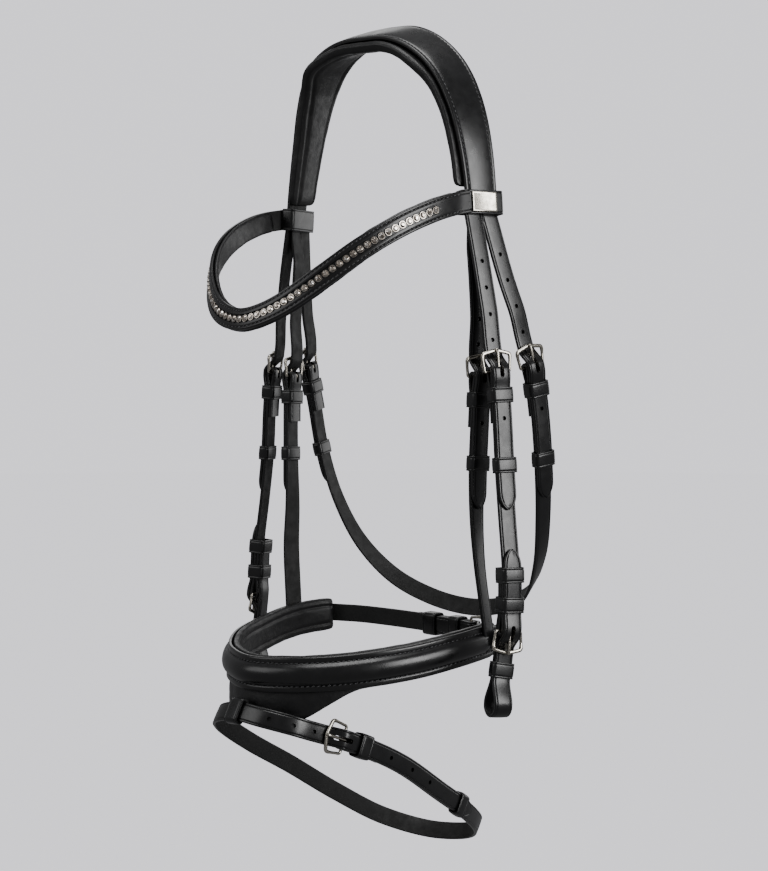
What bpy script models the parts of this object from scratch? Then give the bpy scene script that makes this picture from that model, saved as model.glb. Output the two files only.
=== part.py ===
"""A snaffle bridle without its bit and reins: padded headpiece, browband, cheekpieces,
noseband with a flash strap, and throatlatch, hanging as it does on a horse's head.

+Z is up, the horse faces -Y and its near (left) side is +X. The origin is on the underside of
the headpiece's padding, at the middle of the poll. Lengths below are in millimetres.
Routes are written for the near side; the off side is their mirror image.
"""

import math

import bmesh
import bpy
import numpy as np
from mathutils import Vector

MM = 0.001

# Leather straps
STRAP_WIDTH = 13.0
STRAP_THICK = 2.3
GAP = 0.3
HOLE_RADIUS = 1.7
HOLE_PITCH = 18.0
RING_STEP = 12.0
REST = STRAP_THICK / 2 + GAP / 2
TOP_REST = 3 * REST
FOLD_BACK = 34.0

# Buckles
BAR = 1.1
BAR_HALF = 9.4
EDGE_HALF = 10.2
BUCKLE_LENGTH = 13.0
TONGUE = 0.9
TONGUE_REACH = 15.8
EYE_RADIUS = BAR + TONGUE + 0.5
FOLD_RADIUS = BAR + GAP + STRAP_THICK / 2
OVER_BAR = FOLD_RADIUS + STRAP_THICK + 2 * GAP
UNDER_EDGE = -(BAR + GAP + STRAP_THICK / 2)
INNER_LEG = -(FOLD_RADIUS + STRAP_THICK + GAP)
SLOT_HALF = 1.6
SLOT_BELOW = 4.3
SLOT_ABOVE = 9.5
TURN = (72, 36, 0, -36, -72)

# Keepers
KEEPER_WALL = 1.3
KEEPER_TALL = 10.3
KEEPER_PLAY = 0.4
KEEPER_AT = 15.5

# Headpiece
CROWN_WIDTH = 37.0
CROWN_NECK = 26.0
CROWN_THICK = 3.0
PAD_THICK = 9.0
PAD_WIDTH = 48.0
PAD_NECK = 34.0
PAD_END_THICK = 6.5
SEAM = 0.25
CROWN_STATIONS = 16
CROWN_TILT = 20.0
SIDE_TURN = 17.0
CROWN_PATH = [(0, -3.16, 8.69), (20, -2.8, 6.5), (38, -1.8, -1), (54, -0.8, -13), (66, -0.2, -27),
              (75, 0, -43), (82, 0, -61), (87, 0.2, -82), (90, 0.5, -104), (91.5, 0.5, -123.5)]
CROWN_OFF_PATH = [(0, -3.16, 8.69), (20, -3.2, 9), (38, -3, 5), (54, -3, -4), (65, -3, -19), (72, -3, -37),
                  (78, -2, -57), (84, -1, -80), (89.5, 0.4, -104), (91.5, 0.5, -123.5)]

# Browband
LOOP_CENTRE_Z = -115.0
LOOP_TALL = 16.0
BROW_WIDTH = 15.0
BROW_THICK = 2.6
BROW_PAD_THICK = 4.0
BROW_PATH = [(93, -12.2, -115), (95, -28, -118), (93, -45, -123), (86, -70, -134), (74, -93, -149),
             (58, -111, -166), (36, -125, -183), (18, -131, -191), (0, -133, -194)]
CHAIN_WIDTH = 5.0
CHAIN_THICK = 1.2
PLATE = (19.0, 13.5, 1.2)

# Noseband
NOSE_HEIGHT = 23.0
NOSE_THICK = 6.0
NOSE_PAD_THICK = 6.5
NOSE_PATH = [(82.5, 28, -413), (87, 5, -414), (87, -18, -416), (80, -48.5, -420), (67.5, -77.5, -423),
             (50, -99.5, -425.5), (28, -116.5, -427), (0, -125, -428)]
FLARE_DROP = 20.0
FLARE_FROM, FLARE_FULL = 80.0, 25.0

# The strap behind the jaw, from the off end of the noseband to the near end
CHIN_PATH = [(-78.5, 30.5, -413), (-62, 37, -413), (-32, 41, -413), (0, 42, -413), (32, 41, -413),
             (62, 37, -413), (78.5, 30.5, -413)]
CHIN_BAR_X, CHIN_TIP = 50.0, 66.0

# Hanging straps, from the fork below the browband's loop
CHEEK_PATH = [(92, -6.5, -127), (98, -6, -155), (104.5, -5, -190), (110.4, -5, -220), (114, -5, -255),
              (116.5, -5, -291), (120.5, -6, -325), (125, -7.5, -360), (126, -9, -390), (126, -12, -414),
              (126, -16, -436), (126, -18, -456)]
CHEEK_BAR_Z, CHEEK_TIP = -228.0, 92.0
BIT_BAR_Z, BIT_TIP = -400.0, 54.0
HANGER_PATH = [(86.5, -1.5, -127), (89.5, -1, -160), (92, -1.5, -195), (93, -2, -223), (92.5, -3, -260),
               (91.5, -4, -297), (91.5, -4, -330), (91, -0.5, -360), (89, 9, -398)]
HANGER_OFF_PATH = HANGER_PATH[:-2] + [(91.5, -5.5, -360), (90, -5, -398)]
HANGER_BAR_Z, HANGER_TIP = -231.0, 89.0
THROAT_PATH = [(93.5, 9.5, -130), (100, 17, -165), (106.5, 25, -195), (110.8, 30, -219),
               (110.5, 38, -252), (108.5, 45, -290), (102, 54, -327), (89, 66, -361), (67, 79, -387),
               (36, 87, -401), (0, 90, -406)]
THROAT_BAR_Z, THROAT_TIP = -225.0, 92.0
CHEEK_TURN, HANGER_TURN, THROAT_TURN = 20.0, 12.0, 14.0

# The flash strap, a closed loop from the noseband's front down to the chin groove
FLASH_PATH = [(0, -137, -452), (22, -134, -453.5), (41, -117, -460), (50.5, -81, -474), (53, -40, -494),
              (51, 3, -522), (43, 42, -546), (25, 73, -566), (0, 85, -577), (-25, 76, -579),
              (-43, 44, -566), (-51, 2, -541), (-53, -42, -513), (-49.5, -82, -490), (-40, -117.5, -468),
              (-22, -134, -457)]
FLASH_ACROSS = Vector((0, 0.516, 0.857))
FLASH_BAR, FLASH_TIP = 82.0, 148.0
FLASH_LOOP = (12.0, 4.6, 1.1)


def mix(a, b, t):
    """From a to b as t goes from 0 to 1, easing in and out."""
    t = min(max(t, 0.0), 1.0)
    return a + (b - a) * t * t * (3 - 2 * t)


def turned(angle):
    """The way across a hanging strap whose face is turned `angle` degrees to the horse's front."""
    a = math.radians(angle)
    return Vector((math.sin(a), math.cos(a), 0))


def flipped(point):
    return Vector((-point[0], point[1], point[2]))


def curve_through(points):
    """A dense line on a centripetal Catmull-Rom curve through the points."""
    knots = [Vector(p) for p in points]
    knots = [knots[0] * 2 - knots[1], *knots, knots[-1] * 2 - knots[-2]]
    dense = []
    for a, b, c, d in zip(knots, knots[1:], knots[2:], knots[3:]):
        tb = (b - a).length ** 0.5
        tc = tb + (c - b).length ** 0.5
        td = tc + (d - c).length ** 0.5
        for step in range(16):
            t = tb + (tc - tb) * step / 16
            ab = a.lerp(b, t / tb)
            bc = b.lerp(c, (t - tb) / (tc - tb))
            cd = c.lerp(d, (t - tc) / (td - tc))
            first, second = ab.lerp(bc, t / tc), bc.lerp(cd, (t - tb) / (td - tb))
            dense.append(first.lerp(second, (t - tb) / (tc - tb)))
    dense.append(knots[-2])
    return dense


class Route:
    """A strap's middle line, with its ways along, across and out of its face at any length."""

    def __init__(self, points, across):
        dense = curve_through(points)
        steps = [(b - a).length for a, b in zip(dense, dense[1:])]
        self.reach = np.concatenate([[0.0], np.cumsum(steps)])
        self.columns = np.array([tuple(p) for p in dense])
        self.length = float(self.reach[-1])
        self.across = across

    def spot(self, s):
        return Vector([float(np.interp(s, self.reach, self.columns[:, k])) for k in range(3)])

    def at(self, s):
        """(place, along, across, out) at length s, going straight on past either end."""
        inside = min(max(s, 0.0), self.length)
        low = min(max(inside - 4, 0.0), self.length - 8)
        along = (self.spot(low + 8) - self.spot(low)).normalized()
        way = self.across(inside / self.length)
        out = along.cross(way).normalized()
        return self.spot(inside) + along * (s - inside), along, out.cross(along), out

    def find(self, value, axis):
        """The length at which the line's coordinate on an axis comes nearest to a value."""
        return float(self.reach[int(np.argmin(abs(self.columns[:, axis] - value)))])


class Bench:
    """A buckle's own directions: u along the strap to its front edge, v across, n out."""

    def __init__(self, route, s, towards):
        self.place, along, self.v, self.n = route.at(s)
        self.u = along * towards

    def point(self, u, v, n):
        return self.place + self.u * u + self.v * v + self.n * n


class Line:
    """Points down a strap's middle with the way out of its face at each, laid off from a route."""

    def __init__(self, route):
        self.route = route
        self.points = []
        self.outs = []

    def add(self, s, n, flip=1):
        place, _, _, out = self.route.at(s)
        self.points.append(place + out * n)
        self.outs.append(out * flip)

    def run(self, start, end, height, step=RING_STEP, flip=1):
        """Stations from start to end, at the height over the route that height(s) gives."""
        count = max(1, round(abs(end - start) / step))
        for k in range(count + 1):
            s = start + (end - start) * k / count
            self.add(s, height(s), flip)

    def turn(self, s, towards, radius, angles, sink=0.0):
        """A turn round the point at s, through angles measured from the way `towards`."""
        place, along, _, out = self.route.at(s)
        for angle in angles:
            a = math.radians(angle)
            spoke = along * (towards * math.cos(a)) + out * math.sin(a)
            self.points.append(place + spoke * radius + out * sink)
            self.outs.append(spoke)

    def inner_turn(self, bar, towards, outward):
        """The sewn turn behind a buckle, running to the bar or away from it."""
        ends = (bar - towards * FOLD_BACK, bar - towards * 3.0)
        start, end = ends if outward else ends[::-1]
        height = lambda s: -mix(FOLD_RADIUS, REST, (abs(s - bar) - 2) / 10)
        self.run(start, end, height, 7, flip=-1)

    def billet(self, bar, towards, end):
        """From under the buckle's front edge, over its bar and on to the tip."""
        edge = bar + towards * BUCKLE_LENGTH
        self.add(edge - towards * 0.5, UNDER_EDGE)
        for share in (0.25, 0.5, 0.75):
            height = mix(UNDER_EDGE, OVER_BAR, share * 1.1 - 0.05)
            self.add(edge - towards * BUCKLE_LENGTH * share, height)
        over = lambda s: mix(OVER_BAR, TOP_REST, (abs(s - bar) - 2) / 10)
        self.run(bar - towards * 1.5, bar - towards * 12, over, 3.5)
        self.run(bar - towards * 20, end + towards * 10, lambda s: TOP_REST)
        for back in (6.5, 3.5, 1.2, 0):
            self.add(end + towards * back, TOP_REST)


def outline(width, thick, corner):
    """A strap's section, as (across, out) pairs round it; a corner over 0 cuts its corners off."""
    w, h, c = width / 2, thick / 2, corner
    if c <= 0:
        return [(-w, -h), (w, -h), (w, h), (-w, h)]
    lower = [(-w + c, -h), (w - c, -h), (w, -h + c), (w, h - c)]
    return lower + [(-a, -b) for a, b in lower]


def rings_along(points, outs, sections, closed=False):
    """Section rings round a line of points; sections gives one list of (across, out) per point."""
    rings = []
    count = len(points)
    for i, p in enumerate(points):
        before = points[i - 1] if closed or i else points[0]
        after = points[(i + 1) % count] if closed or i < count - 1 else points[-1]
        along = (after - before).normalized()
        across = outs[i].cross(along).normalized()
        out = along.cross(across)
        rings.append([p + across * a + out * b for a, b in sections[i]])
    return rings


def add_shell(bm, rings, closed=False):
    """A skin over rings of points, capped at its ends unless it closes on itself.

    Twisted layers lie close together, so both faces of each are split along the same diagonal.
    """
    rows = [[bm.verts.new(p * MM) for p in ring] for ring in rings]
    size = len(rows[0])
    if closed:
        rows.append(rows[0])
    for low, high in zip(rows, rows[1:]):
        for k in range(size):
            a, b, c, d = low[k], low[(k + 1) % size], high[(k + 1) % size], high[k]
            halves = ((a, b, c), (a, c, d)) if k < size / 2 else ((a, b, d), (b, c, d))
            for corners in halves:
                bm.faces.new(corners)
    if not closed:
        bm.faces.new(list(reversed(rows[0])))
        bm.faces.new(rows[-1])


def shell(rings, closed=False):
    bm = bmesh.new()
    add_shell(bm, rings, closed)
    return bm


def make(name, bm, finish, side=1, pivot=(0, 0, 0)):
    """An object from a bmesh of the near side; side -1 mirrors it. Its origin goes to pivot."""
    where = Vector(pivot) * MM
    if side < 0:
        bmesh.ops.scale(bm, vec=(-1, 1, 1), verts=bm.verts)
        where = flipped(where)
    bmesh.ops.translate(bm, vec=-where, verts=bm.verts)
    bmesh.ops.recalc_face_normals(bm, faces=bm.faces)
    mesh = bpy.data.meshes.new(name)
    bm.to_mesh(mesh)
    bm.free()
    mesh.materials.append(finish)
    made = bpy.data.objects.new(name, mesh)
    made.location = where
    bpy.context.scene.collection.objects.link(made)
    return made


def combine(target, helpers, operation):
    """Cuts helper shapes out of an object, or joins them to it, and hides the helpers."""
    for helper in helpers:
        helper.hide_render = True
        helper.display_type = "WIRE"
        boolean = target.modifiers.new(operation.title(), "BOOLEAN")
        boolean.operation = operation
        boolean.solver = "EXACT"
        boolean.object = helper
    return target


def cutter(name, bench, slot, holes, side=1):
    """A hidden helper: one slot (u from, u to, n from, n to) and rods for holes at (route, s)."""
    bm = bmesh.new()
    u0, u1, n0, n1 = slot
    corners = ((-SLOT_HALF, n0), (SLOT_HALF, n0), (SLOT_HALF, n1), (-SLOT_HALF, n1))
    add_shell(bm, [[bench.point(u, v, n) for v, n in corners] for u in (u0, u1)])
    for route, s in holes:
        place, along, across, out = route.at(s)
        spokes = [math.tau * (k + 0.5) / 6 for k in range(6)]
        ring = [(along * math.cos(t) + across * math.sin(t)) * HOLE_RADIUS for t in spokes]
        add_shell(bm, [[place + out * end + p for p in ring] for end in (-8, 9)])
    return make(name, bm, LEATHER, side)


def strap(name, line, side=1, pointed=False, width=STRAP_WIDTH):
    """A leather strap along a Line, with a rounded point at its end where asked."""
    left = [0.0]
    for a, b in zip(line.points[::-1], line.points[-2::-1]):
        left.append(left[-1] + (b - a).length)
    left.reverse()
    sections = []
    for reach in left:
        share = min(reach, 8.0) / 8.0 if pointed else 1.0
        narrowed = width * (0.35 + 0.65 * math.sqrt(1 - (1 - share) ** 2))
        sections.append(outline(narrowed, STRAP_THICK, 0))
    return make(name, shell(rings_along(line.points, line.outs, sections)), LEATHER, side)


def wire(name, points, ways, radius, closed, side=1, pivot=(0, 0, 0)):
    """A round wire along points; ways are at right angles to the wire."""
    spokes = [math.tau * (k + 0.5) / 6 for k in range(6)]
    ring = [(math.cos(t) * radius, math.sin(t) * radius) for t in spokes]
    rings = rings_along(points, ways, [ring] * len(points), closed)
    return make(name, shell(rings, closed), STEEL, side, pivot)


def buckle(tag, bench, side=1):
    """A buckle's frame with a straight bar and a shallow peak at its front edge, and its tongue."""
    front = BUCKLE_LENGTH
    half = [(0, BAR_HALF - 1.2), (1.2, BAR_HALF)]
    half += [(front - 3.5, EDGE_HALF), (front - 1.4, EDGE_HALF - 1.2)]
    edge = half + [(front, 0)] + [(u, -v) for u, v in reversed(half)]
    points = [bench.point(u, v, 0) for u, v in edge]
    wire(f"{tag}_buckle", points, [bench.n] * len(points), BAR, True, side)
    eye = [(EYE_RADIUS, math.radians(a)) for a in (-70, -110, -150, -190, -230, -262)]
    shape = [(r * math.cos(a), r * math.sin(a)) for r, a in eye]
    over = BAR + GAP + TONGUE + 0.1
    shape += [(5, EYE_RADIUS), (front - 1, over), (TONGUE_REACH, over - 0.3)]
    points = [bench.point(u, 0, n) for u, n in shape]
    wire(f"{tag}_tongue", points, [bench.v] * len(points), TONGUE, False, side, bench.place)


def keeper(name, route, s, low, high, side=1, tall=KEEPER_TALL, width=STRAP_WIDTH,
           wall=KEEPER_WALL):
    """A leather loop round the straps that lie between heights low and high at length s."""
    place, along, across, out = route.at(s)
    levels = []
    for end, skin in ((-0.5, wall), (0.5, wall), (0.5, 0), (-0.5, 0)):
        half = width / 2 + KEEPER_PLAY + skin
        bottom, top = low - KEEPER_PLAY - skin, high + KEEPER_PLAY + skin
        loop = [(-half, bottom), (half, bottom), (half, top), (-half, top)]
        levels.append([place + along * (end * tall) + across * a + out * b for a, b in loop])
    return make(name, shell(levels, True), LEATHER, side)


def finish_of(name, colour, roughness, metallic):
    made = bpy.data.materials.new(name)
    made.use_nodes = True
    shader = made.node_tree.nodes["Principled BSDF"]
    shader.inputs["Base Color"].default_value = (*colour, 1)
    shader.inputs["Roughness"].default_value = roughness
    shader.inputs["Metallic"].default_value = metallic
    return made


def crown_route():
    """The headpiece's seam from the off side over the poll to the near side, and its middle."""
    route = Route([flipped(p) for p in CROWN_OFF_PATH[:0:-1]] + CROWN_PATH, None)
    middle = route.find(0, 0)
    tilt = math.radians(CROWN_TILT)
    over = Vector((0, math.cos(tilt), math.sin(tilt)))

    def across(share):
        side = 1 if share * route.length > middle else -1
        reach = (share * route.length - middle) / (route.length - middle if side > 0 else -middle)
        way = over.lerp(turned(SIDE_TURN), mix(0, 1, reach * 1.25))
        return Vector((way.x * side, way.y, way.z)).normalized()

    route.across = across
    return route, middle


def crown_body(name, finish, last, side, thick, widths, corner):
    """A band over the poll, on one side of its seam; thick and widths give poll and end sizes."""
    route, middle = crown_route()
    points, outs, sections = [], [], []
    for k in range(-last, last + 1):
        reach = route.length - middle if k > 0 else middle
        share = abs(k) / last
        place, _, _, out = route.at(middle + reach * k / CROWN_STATIONS)
        depth = thick[0] + (thick[1] - thick[0]) * share
        points.append(place + out * (side * (depth / 2 + SEAM)))
        outs.append(out)
        sections.append(outline(mix(*widths, share), depth, corner))
    return make(name, shell(rings_along(points, outs, sections)), finish)


def build_headpiece():
    widths = (CROWN_WIDTH, CROWN_NECK)
    thick = (CROWN_THICK, CROWN_THICK)
    crown_body("headpiece_crown", LEATHER, CROWN_STATIONS, 1, thick, widths, 0)
    widths = (PAD_WIDTH, PAD_NECK)
    thick = (PAD_THICK, PAD_END_THICK)
    crown_body("headpiece_padding", SOFT_LEATHER, CROWN_STATIONS - 2, -1, thick, widths, 2.5)


def build_cheekpiece(tag, side):
    """One side's cheek strap with a buckle at each end, its billet, and the billet for the bit."""
    route = Route(CHEEK_PATH, lambda share: turned(mix(SIDE_TURN, CHEEK_TURN, share * 3)))
    top, bit = route.find(CHEEK_BAR_Z, 2), route.find(BIT_BAR_Z, 2)
    upper, lower = Bench(route, top, -1), Bench(route, bit, 1)
    edge = top - BUCKLE_LENGTH

    billet = Line(route)
    billet.run(0, edge - 4, lambda s: mix(UNDER_EDGE, 0, (edge - 4 - s) / 26))
    billet.billet(top, -1, top + CHEEK_TIP)
    holes = [(route, top + HOLE_PITCH * k) for k in (-4, -3, -2, 2)]
    slot = (-SLOT_BELOW, SLOT_ABOVE, -5, 9)
    made = strap(f"cheek_billet_{tag}", billet, side, True)
    combine(made, [cutter(f"cheek_billet_cut_{tag}", upper, slot, holes, side)], "DIFFERENCE")

    body = Line(route)
    body.inner_turn(top, -1, True)
    body.turn(top, -1, FOLD_RADIUS, TURN[::-1])
    ease = lambda s: mix(FOLD_RADIUS, REST, (min(s - top, bit - s) - 2) / 10)
    body.run(top + 3, top + 12, ease, 4.5)
    body.run(top + 24, bit - 24, ease, 13)
    body.run(bit - 12, bit - 3, ease, 4.5)
    body.turn(bit, 1, FOLD_RADIUS, TURN)
    body.inner_turn(bit, 1, False)
    slot = (-SLOT_BELOW, 6, -6, 6)
    cuts = [cutter(f"cheek_fold_cut_{tag}", upper, slot, [], side)]
    cuts.append(cutter(f"bit_fold_cut_{tag}", lower, slot, [], side))
    combine(strap(f"cheek_strap_{tag}", body, side), cuts, "DIFFERENCE")

    loop = Line(route)
    end, neck = route.length - 8.5, bit + 31
    leg = lambda s: mix(-TOP_REST, INNER_LEG, (s - bit + 12) / 10) - mix(0, 6.0, (s - neck) / 18)
    loop.run(bit - 40, end - 3, leg, 6, flip=-1)
    middle = (UNDER_EDGE + INNER_LEG) / 2
    radius = 6.0 + (UNDER_EDGE - INNER_LEG) / 2
    loop.turn(end, 1, radius, (-65, -40, -15, 15, 40, 65), middle)
    loop.run(end - 3, bit + BUCKLE_LENGTH + 4, lambda s: UNDER_EDGE + mix(0, 6.0, (s - neck) / 18), 6)
    loop.billet(bit, 1, bit - BIT_TIP)
    slot = (-SLOT_BELOW, SLOT_ABOVE, -4.0, 9)
    made = strap(f"bit_billet_{tag}", loop, side, True)
    combine(made, [cutter(f"bit_billet_cut_{tag}", lower, slot, [], side)], "DIFFERENCE")

    buckle(f"cheek_{tag}", upper, side)
    buckle(f"bit_{tag}", lower, side)
    half = STRAP_THICK / 2
    keeper(f"cheek_keeper_{tag}", route, top + KEEPER_AT, -REST - half, TOP_REST + half, side)
    keeper(f"cheek_runner_{tag}", route, top + 62, REST - half, TOP_REST + half, side)
    for part, place in (("upper", bit - 37), ("middle", bit - KEEPER_AT - 2)):
        keeper(f"bit_keeper_{part}_{tag}", route, place, -TOP_REST - half, TOP_REST + half, side)
    low, high = INNER_LEG - half, UNDER_EDGE + half
    keeper(f"bit_keeper_lower_{tag}", route, bit + 26, low, high, side)


def build_hanger(tag, side):
    """The strap that carries one side of the noseband, with its billet and buckle."""
    path = HANGER_PATH if side > 0 else HANGER_OFF_PATH
    route = Route(path, lambda share: turned(mix(SIDE_TURN, HANGER_TURN, share * 3)))
    top = route.find(HANGER_BAR_Z, 2)
    build_hung_pair(f"hanger_{tag}", route, top, HANGER_TIP, 58, side)
    body = Line(route)
    body.inner_turn(top, -1, True)
    body.turn(top, -1, FOLD_RADIUS, TURN[::-1])
    ease = lambda s: mix(FOLD_RADIUS, REST, (s - top - 2) / 10)
    body.run(top + 3, top + 12, ease, 4.5)
    body.run(top + 24, route.length, ease, 13)
    made = strap(f"hanger_strap_{tag}", body, side)
    bench = Bench(route, top, -1)
    slot = cutter(f"hanger_fold_cut_{tag}", bench, (-SLOT_BELOW, 6, -6, 6), [], side)
    combine(made, [slot], "DIFFERENCE")


def build_hung_pair(tag, route, top, tip, runner, side):
    """The billet from the fork, and the buckle and runner it goes through."""
    bench = Bench(route, top, -1)
    edge = top - BUCKLE_LENGTH
    billet = Line(route)
    billet.run(0, edge - 4, lambda s: mix(UNDER_EDGE, 0, (edge - 4 - s) / 26))
    billet.billet(top, -1, top + tip)
    holes = [(route, top + HOLE_PITCH * k) for k in (-3, -2, 2)]
    made = strap(f"{tag[:6]}_billet{tag[6:]}", billet, side, True)
    slot = (-SLOT_BELOW, SLOT_ABOVE, -5, 9)
    combine(made, [cutter(f"{tag}_billet_cut", bench, slot, holes, side)], "DIFFERENCE")
    buckle(tag, bench, side)
    half = STRAP_THICK / 2
    keeper(f"{tag[:6]}_runner{tag[6:]}", route, top + runner, REST - half, TOP_REST + half, side)


def build_throatlatch():
    """A long strap under the throat with a buckle at each end, and a billet on each side."""
    route = Route(whole(THROAT_PATH), throat_across)
    top = route.find(THROAT_BAR_Z, 2)
    for tag, side in SIDES:
        build_hung_pair(f"throat_{tag}", route, top, THROAT_TIP, 64, side)
    body = Line(route)
    other = route.length - top
    body.inner_turn(top, -1, True)
    body.turn(top, -1, FOLD_RADIUS, TURN[::-1])
    ease = lambda s: mix(FOLD_RADIUS, REST, (min(s - top, other - s) - 2) / 10)
    body.run(top + 3, top + 12, ease, 4.5)
    body.run(top + 24, other - 24, ease, 12)
    body.run(other - 12, other - 3, ease, 4.5)
    body.turn(other, 1, FOLD_RADIUS, TURN)
    body.inner_turn(other, 1, False)
    made = strap("throat_strap", body)
    bench = Bench(route, top, -1)
    slot = (-SLOT_BELOW, 6, -6, 6)
    cuts = [cutter(f"throat_fold_cut_{tag}", bench, slot, [], side) for tag, side in SIDES]
    combine(made, cuts, "DIFFERENCE")


def throat_across(share):
    """Across the throat strap: upright at the cheek, and fore and aft with a lean under the throat."""
    reach = middleness(share)
    way = turned(mix(SIDE_TURN, THROAT_TURN, reach * 3))
    way = way.lerp(Vector((0, 0.34, 0.94)), mix(0, 1, reach * 1.6 - 0.6)).normalized()
    return way if share < 0.5 else flipped(way)


def whole(path):
    """A near-side half path and its mirror image as one, ending on the off side."""
    return path + [flipped(p) for p in path[-2::-1]]


def middleness(share):
    """0 at either end of a whole route and 1 at its middle."""
    return 1 - abs(2 * share - 1)


def band(name, route, marks, height, sections, finish):
    """A band along a route at a height over it, with a section for each mark."""
    spots = [route.at(s) for s in marks]
    rings = rings_along([p + o * height for p, _, _, o in spots], [o for _, _, _, o in spots], sections)
    return make(name, shell(rings), finish)


def face_route(path, lean):
    """A band's route round the horse's face; its lower edge leans forward most at the middle."""
    return Route(whole(path), lambda share: Vector((0, -lean * middleness(share), -1)).normalized())


def build_browband():
    """The front leather with a loop round each leg of the headpiece, its lining and its crystals."""
    route = face_route(BROW_PATH, 0.25)
    marks = np.linspace(0, route.length, 33)
    sections = [outline(BROW_WIDTH, BROW_THICK, 0)] * len(marks)
    leather = band("browband_strap", route, marks, 0, sections, LEATHER)
    legs, middle = crown_route()
    centre = middle + Route(CROWN_PATH, None).find(LOOP_CENTRE_Z, 2)
    low, high = -SEAM, CROWN_THICK + SEAM
    loops = [keeper(f"browband_loop_{tag}", legs, centre, low, high, side, LOOP_TALL, CROWN_NECK + 1)
             for tag, side in SIDES]
    combine(leather, loops, "UNION")

    marks = marks[1:-1]
    sections = [outline(BROW_WIDTH - 1, BROW_PAD_THICK, 1.2)] * len(marks)
    height = -(BROW_THICK + BROW_PAD_THICK) / 2 - SEAM
    band("browband_padding", route, marks, height, sections, SOFT_LEATHER)
    marks = marks[1:-1]
    sections = [outline(CHAIN_WIDTH, CHAIN_THICK, 0)] * len(marks)
    height = (BROW_THICK + CHAIN_THICK) / 2 + 2 * SEAM
    band("crystal_chain", route, marks, height, sections, CRYSTAL)

    place, along, across, out = legs.at(centre)
    wide, tall, thick = PLATE
    low = high + KEEPER_PLAY + KEEPER_WALL + GAP
    half = [(-wide / 2, -tall / 2), (wide / 2, -tall / 2)]
    corners = half + [(-a, -b) for a, b in half]
    rings = [[place + across * a + along * b + out * n for a, b in corners]
             for n in (low, low + thick)]
    make("name_plate", shell(rings), STEEL)


def build_noseband():
    """The raised front leather, the padding behind it that hangs lower in front, and the rear strap."""
    route = face_route(NOSE_PATH, 0.12)
    marks = np.linspace(0, route.length, 33)
    sections = [outline(NOSE_HEIGHT, NOSE_THICK, 1.8)] * len(marks)
    band("noseband_leather", route, marks, NOSE_THICK / 2 + SEAM, sections, LEATHER)
    sections = []
    for s in marks:
        outward = abs(s - route.length / 2) - FLARE_FULL
        drop = mix(FLARE_DROP, 0, outward / (FLARE_FROM - FLARE_FULL))
        plain = outline(NOSE_HEIGHT + 1, NOSE_PAD_THICK, 2)
        sections.append([(a + (drop if a > 0 else 0), b) for a, b in plain])
    height = -NOSE_PAD_THICK / 2 - SEAM
    padding = band("noseband_padding", route, marks, height, sections, SOFT_LEATHER)
    long, wall, play = FLASH_LOOP
    half = STRAP_THICK / 2 + play
    route = flash_route()
    loop = keeper("flash_loop", route, lap_of(route), -half, half, tall=long, wall=wall)
    combine(padding, [loop], "UNION")


def build_chin_strap():
    """Behind the jaw: a strap from the off side with a buckle, and a billet from the near side."""
    route = Route(CHIN_PATH, lambda share: Vector((0, 0, -1)))
    bar = route.find(CHIN_BAR_X, 0)
    bench = Bench(route, bar, 1)
    body = Line(route)
    body.run(0, bar - 3, lambda s: mix(FOLD_RADIUS, REST, (bar - s - 2) / 10))
    body.turn(bar, 1, FOLD_RADIUS, TURN)
    body.inner_turn(bar, 1, False)
    slot = cutter("chin_fold_cut", bench, (-SLOT_BELOW, 6, -6, 6), [])
    combine(strap("chin_strap", body), [slot], "DIFFERENCE")
    billet = Line(route)
    edge = bar + BUCKLE_LENGTH
    billet.run(route.length, edge + 4, lambda s: mix(UNDER_EDGE, 0, (s - edge - 4) / 12), 6)
    billet.billet(bar, 1, bar - CHIN_TIP)
    holes = [(route, bar - HOLE_PITCH * 2)]
    slot = cutter("chin_billet_cut", bench, (-SLOT_BELOW, SLOT_ABOVE, -5, 9), holes)
    combine(strap("chin_billet", billet, pointed=True), [slot], "DIFFERENCE")
    buckle("chin", bench)
    half = STRAP_THICK / 2
    keeper("chin_keeper", route, bar - KEEPER_AT, -REST - half, TOP_REST + half)


def flash_route():
    """More than a lap of the flash strap's loop, starting at the horse's front."""
    return Route(FLASH_PATH + FLASH_PATH[:10], lambda share: FLASH_ACROSS)


def lap_of(route):
    """The length of one lap: where the route comes back to its start."""
    return next(s for s in np.arange(400, 700, 0.5) if (route.spot(s) - route.spot(0)).length < 1)


def build_flash():
    """The flash strap: from its buckle round by the chin and the front, and back over itself."""
    route = flash_route()
    lap = lap_of(route)
    bar = FLASH_BAR
    again = lap + bar
    edge = again - BUCKLE_LENGTH - 4
    body = Line(route)
    body.inner_turn(bar, -1, True)
    body.turn(bar, -1, FOLD_RADIUS, TURN[::-1])
    body.run(bar + 3, bar + 12, lambda s: mix(FOLD_RADIUS, REST, (s - bar - 2) / 10), 4)
    body.run(bar + 18, lap - 30, lambda s: mix(REST, 0, (s - lap + 80) / 40), 10)
    body.run(lap - 24, edge, lambda s: mix(0, UNDER_EDGE, (s - edge + 22) / 20), 6)
    body.billet(again, -1, again + FLASH_TIP)
    slot = cutter("flash_cut", Bench(route, bar, -1), (-SLOT_BELOW, SLOT_ABOVE, -6, 9), [])
    combine(strap("flash_strap", body, pointed=True), [slot], "DIFFERENCE")
    buckle("flash", Bench(route, bar, -1))
    half = STRAP_THICK / 2
    keeper("flash_keeper", route, bar + KEEPER_AT, -REST - half, TOP_REST + half)


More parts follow.
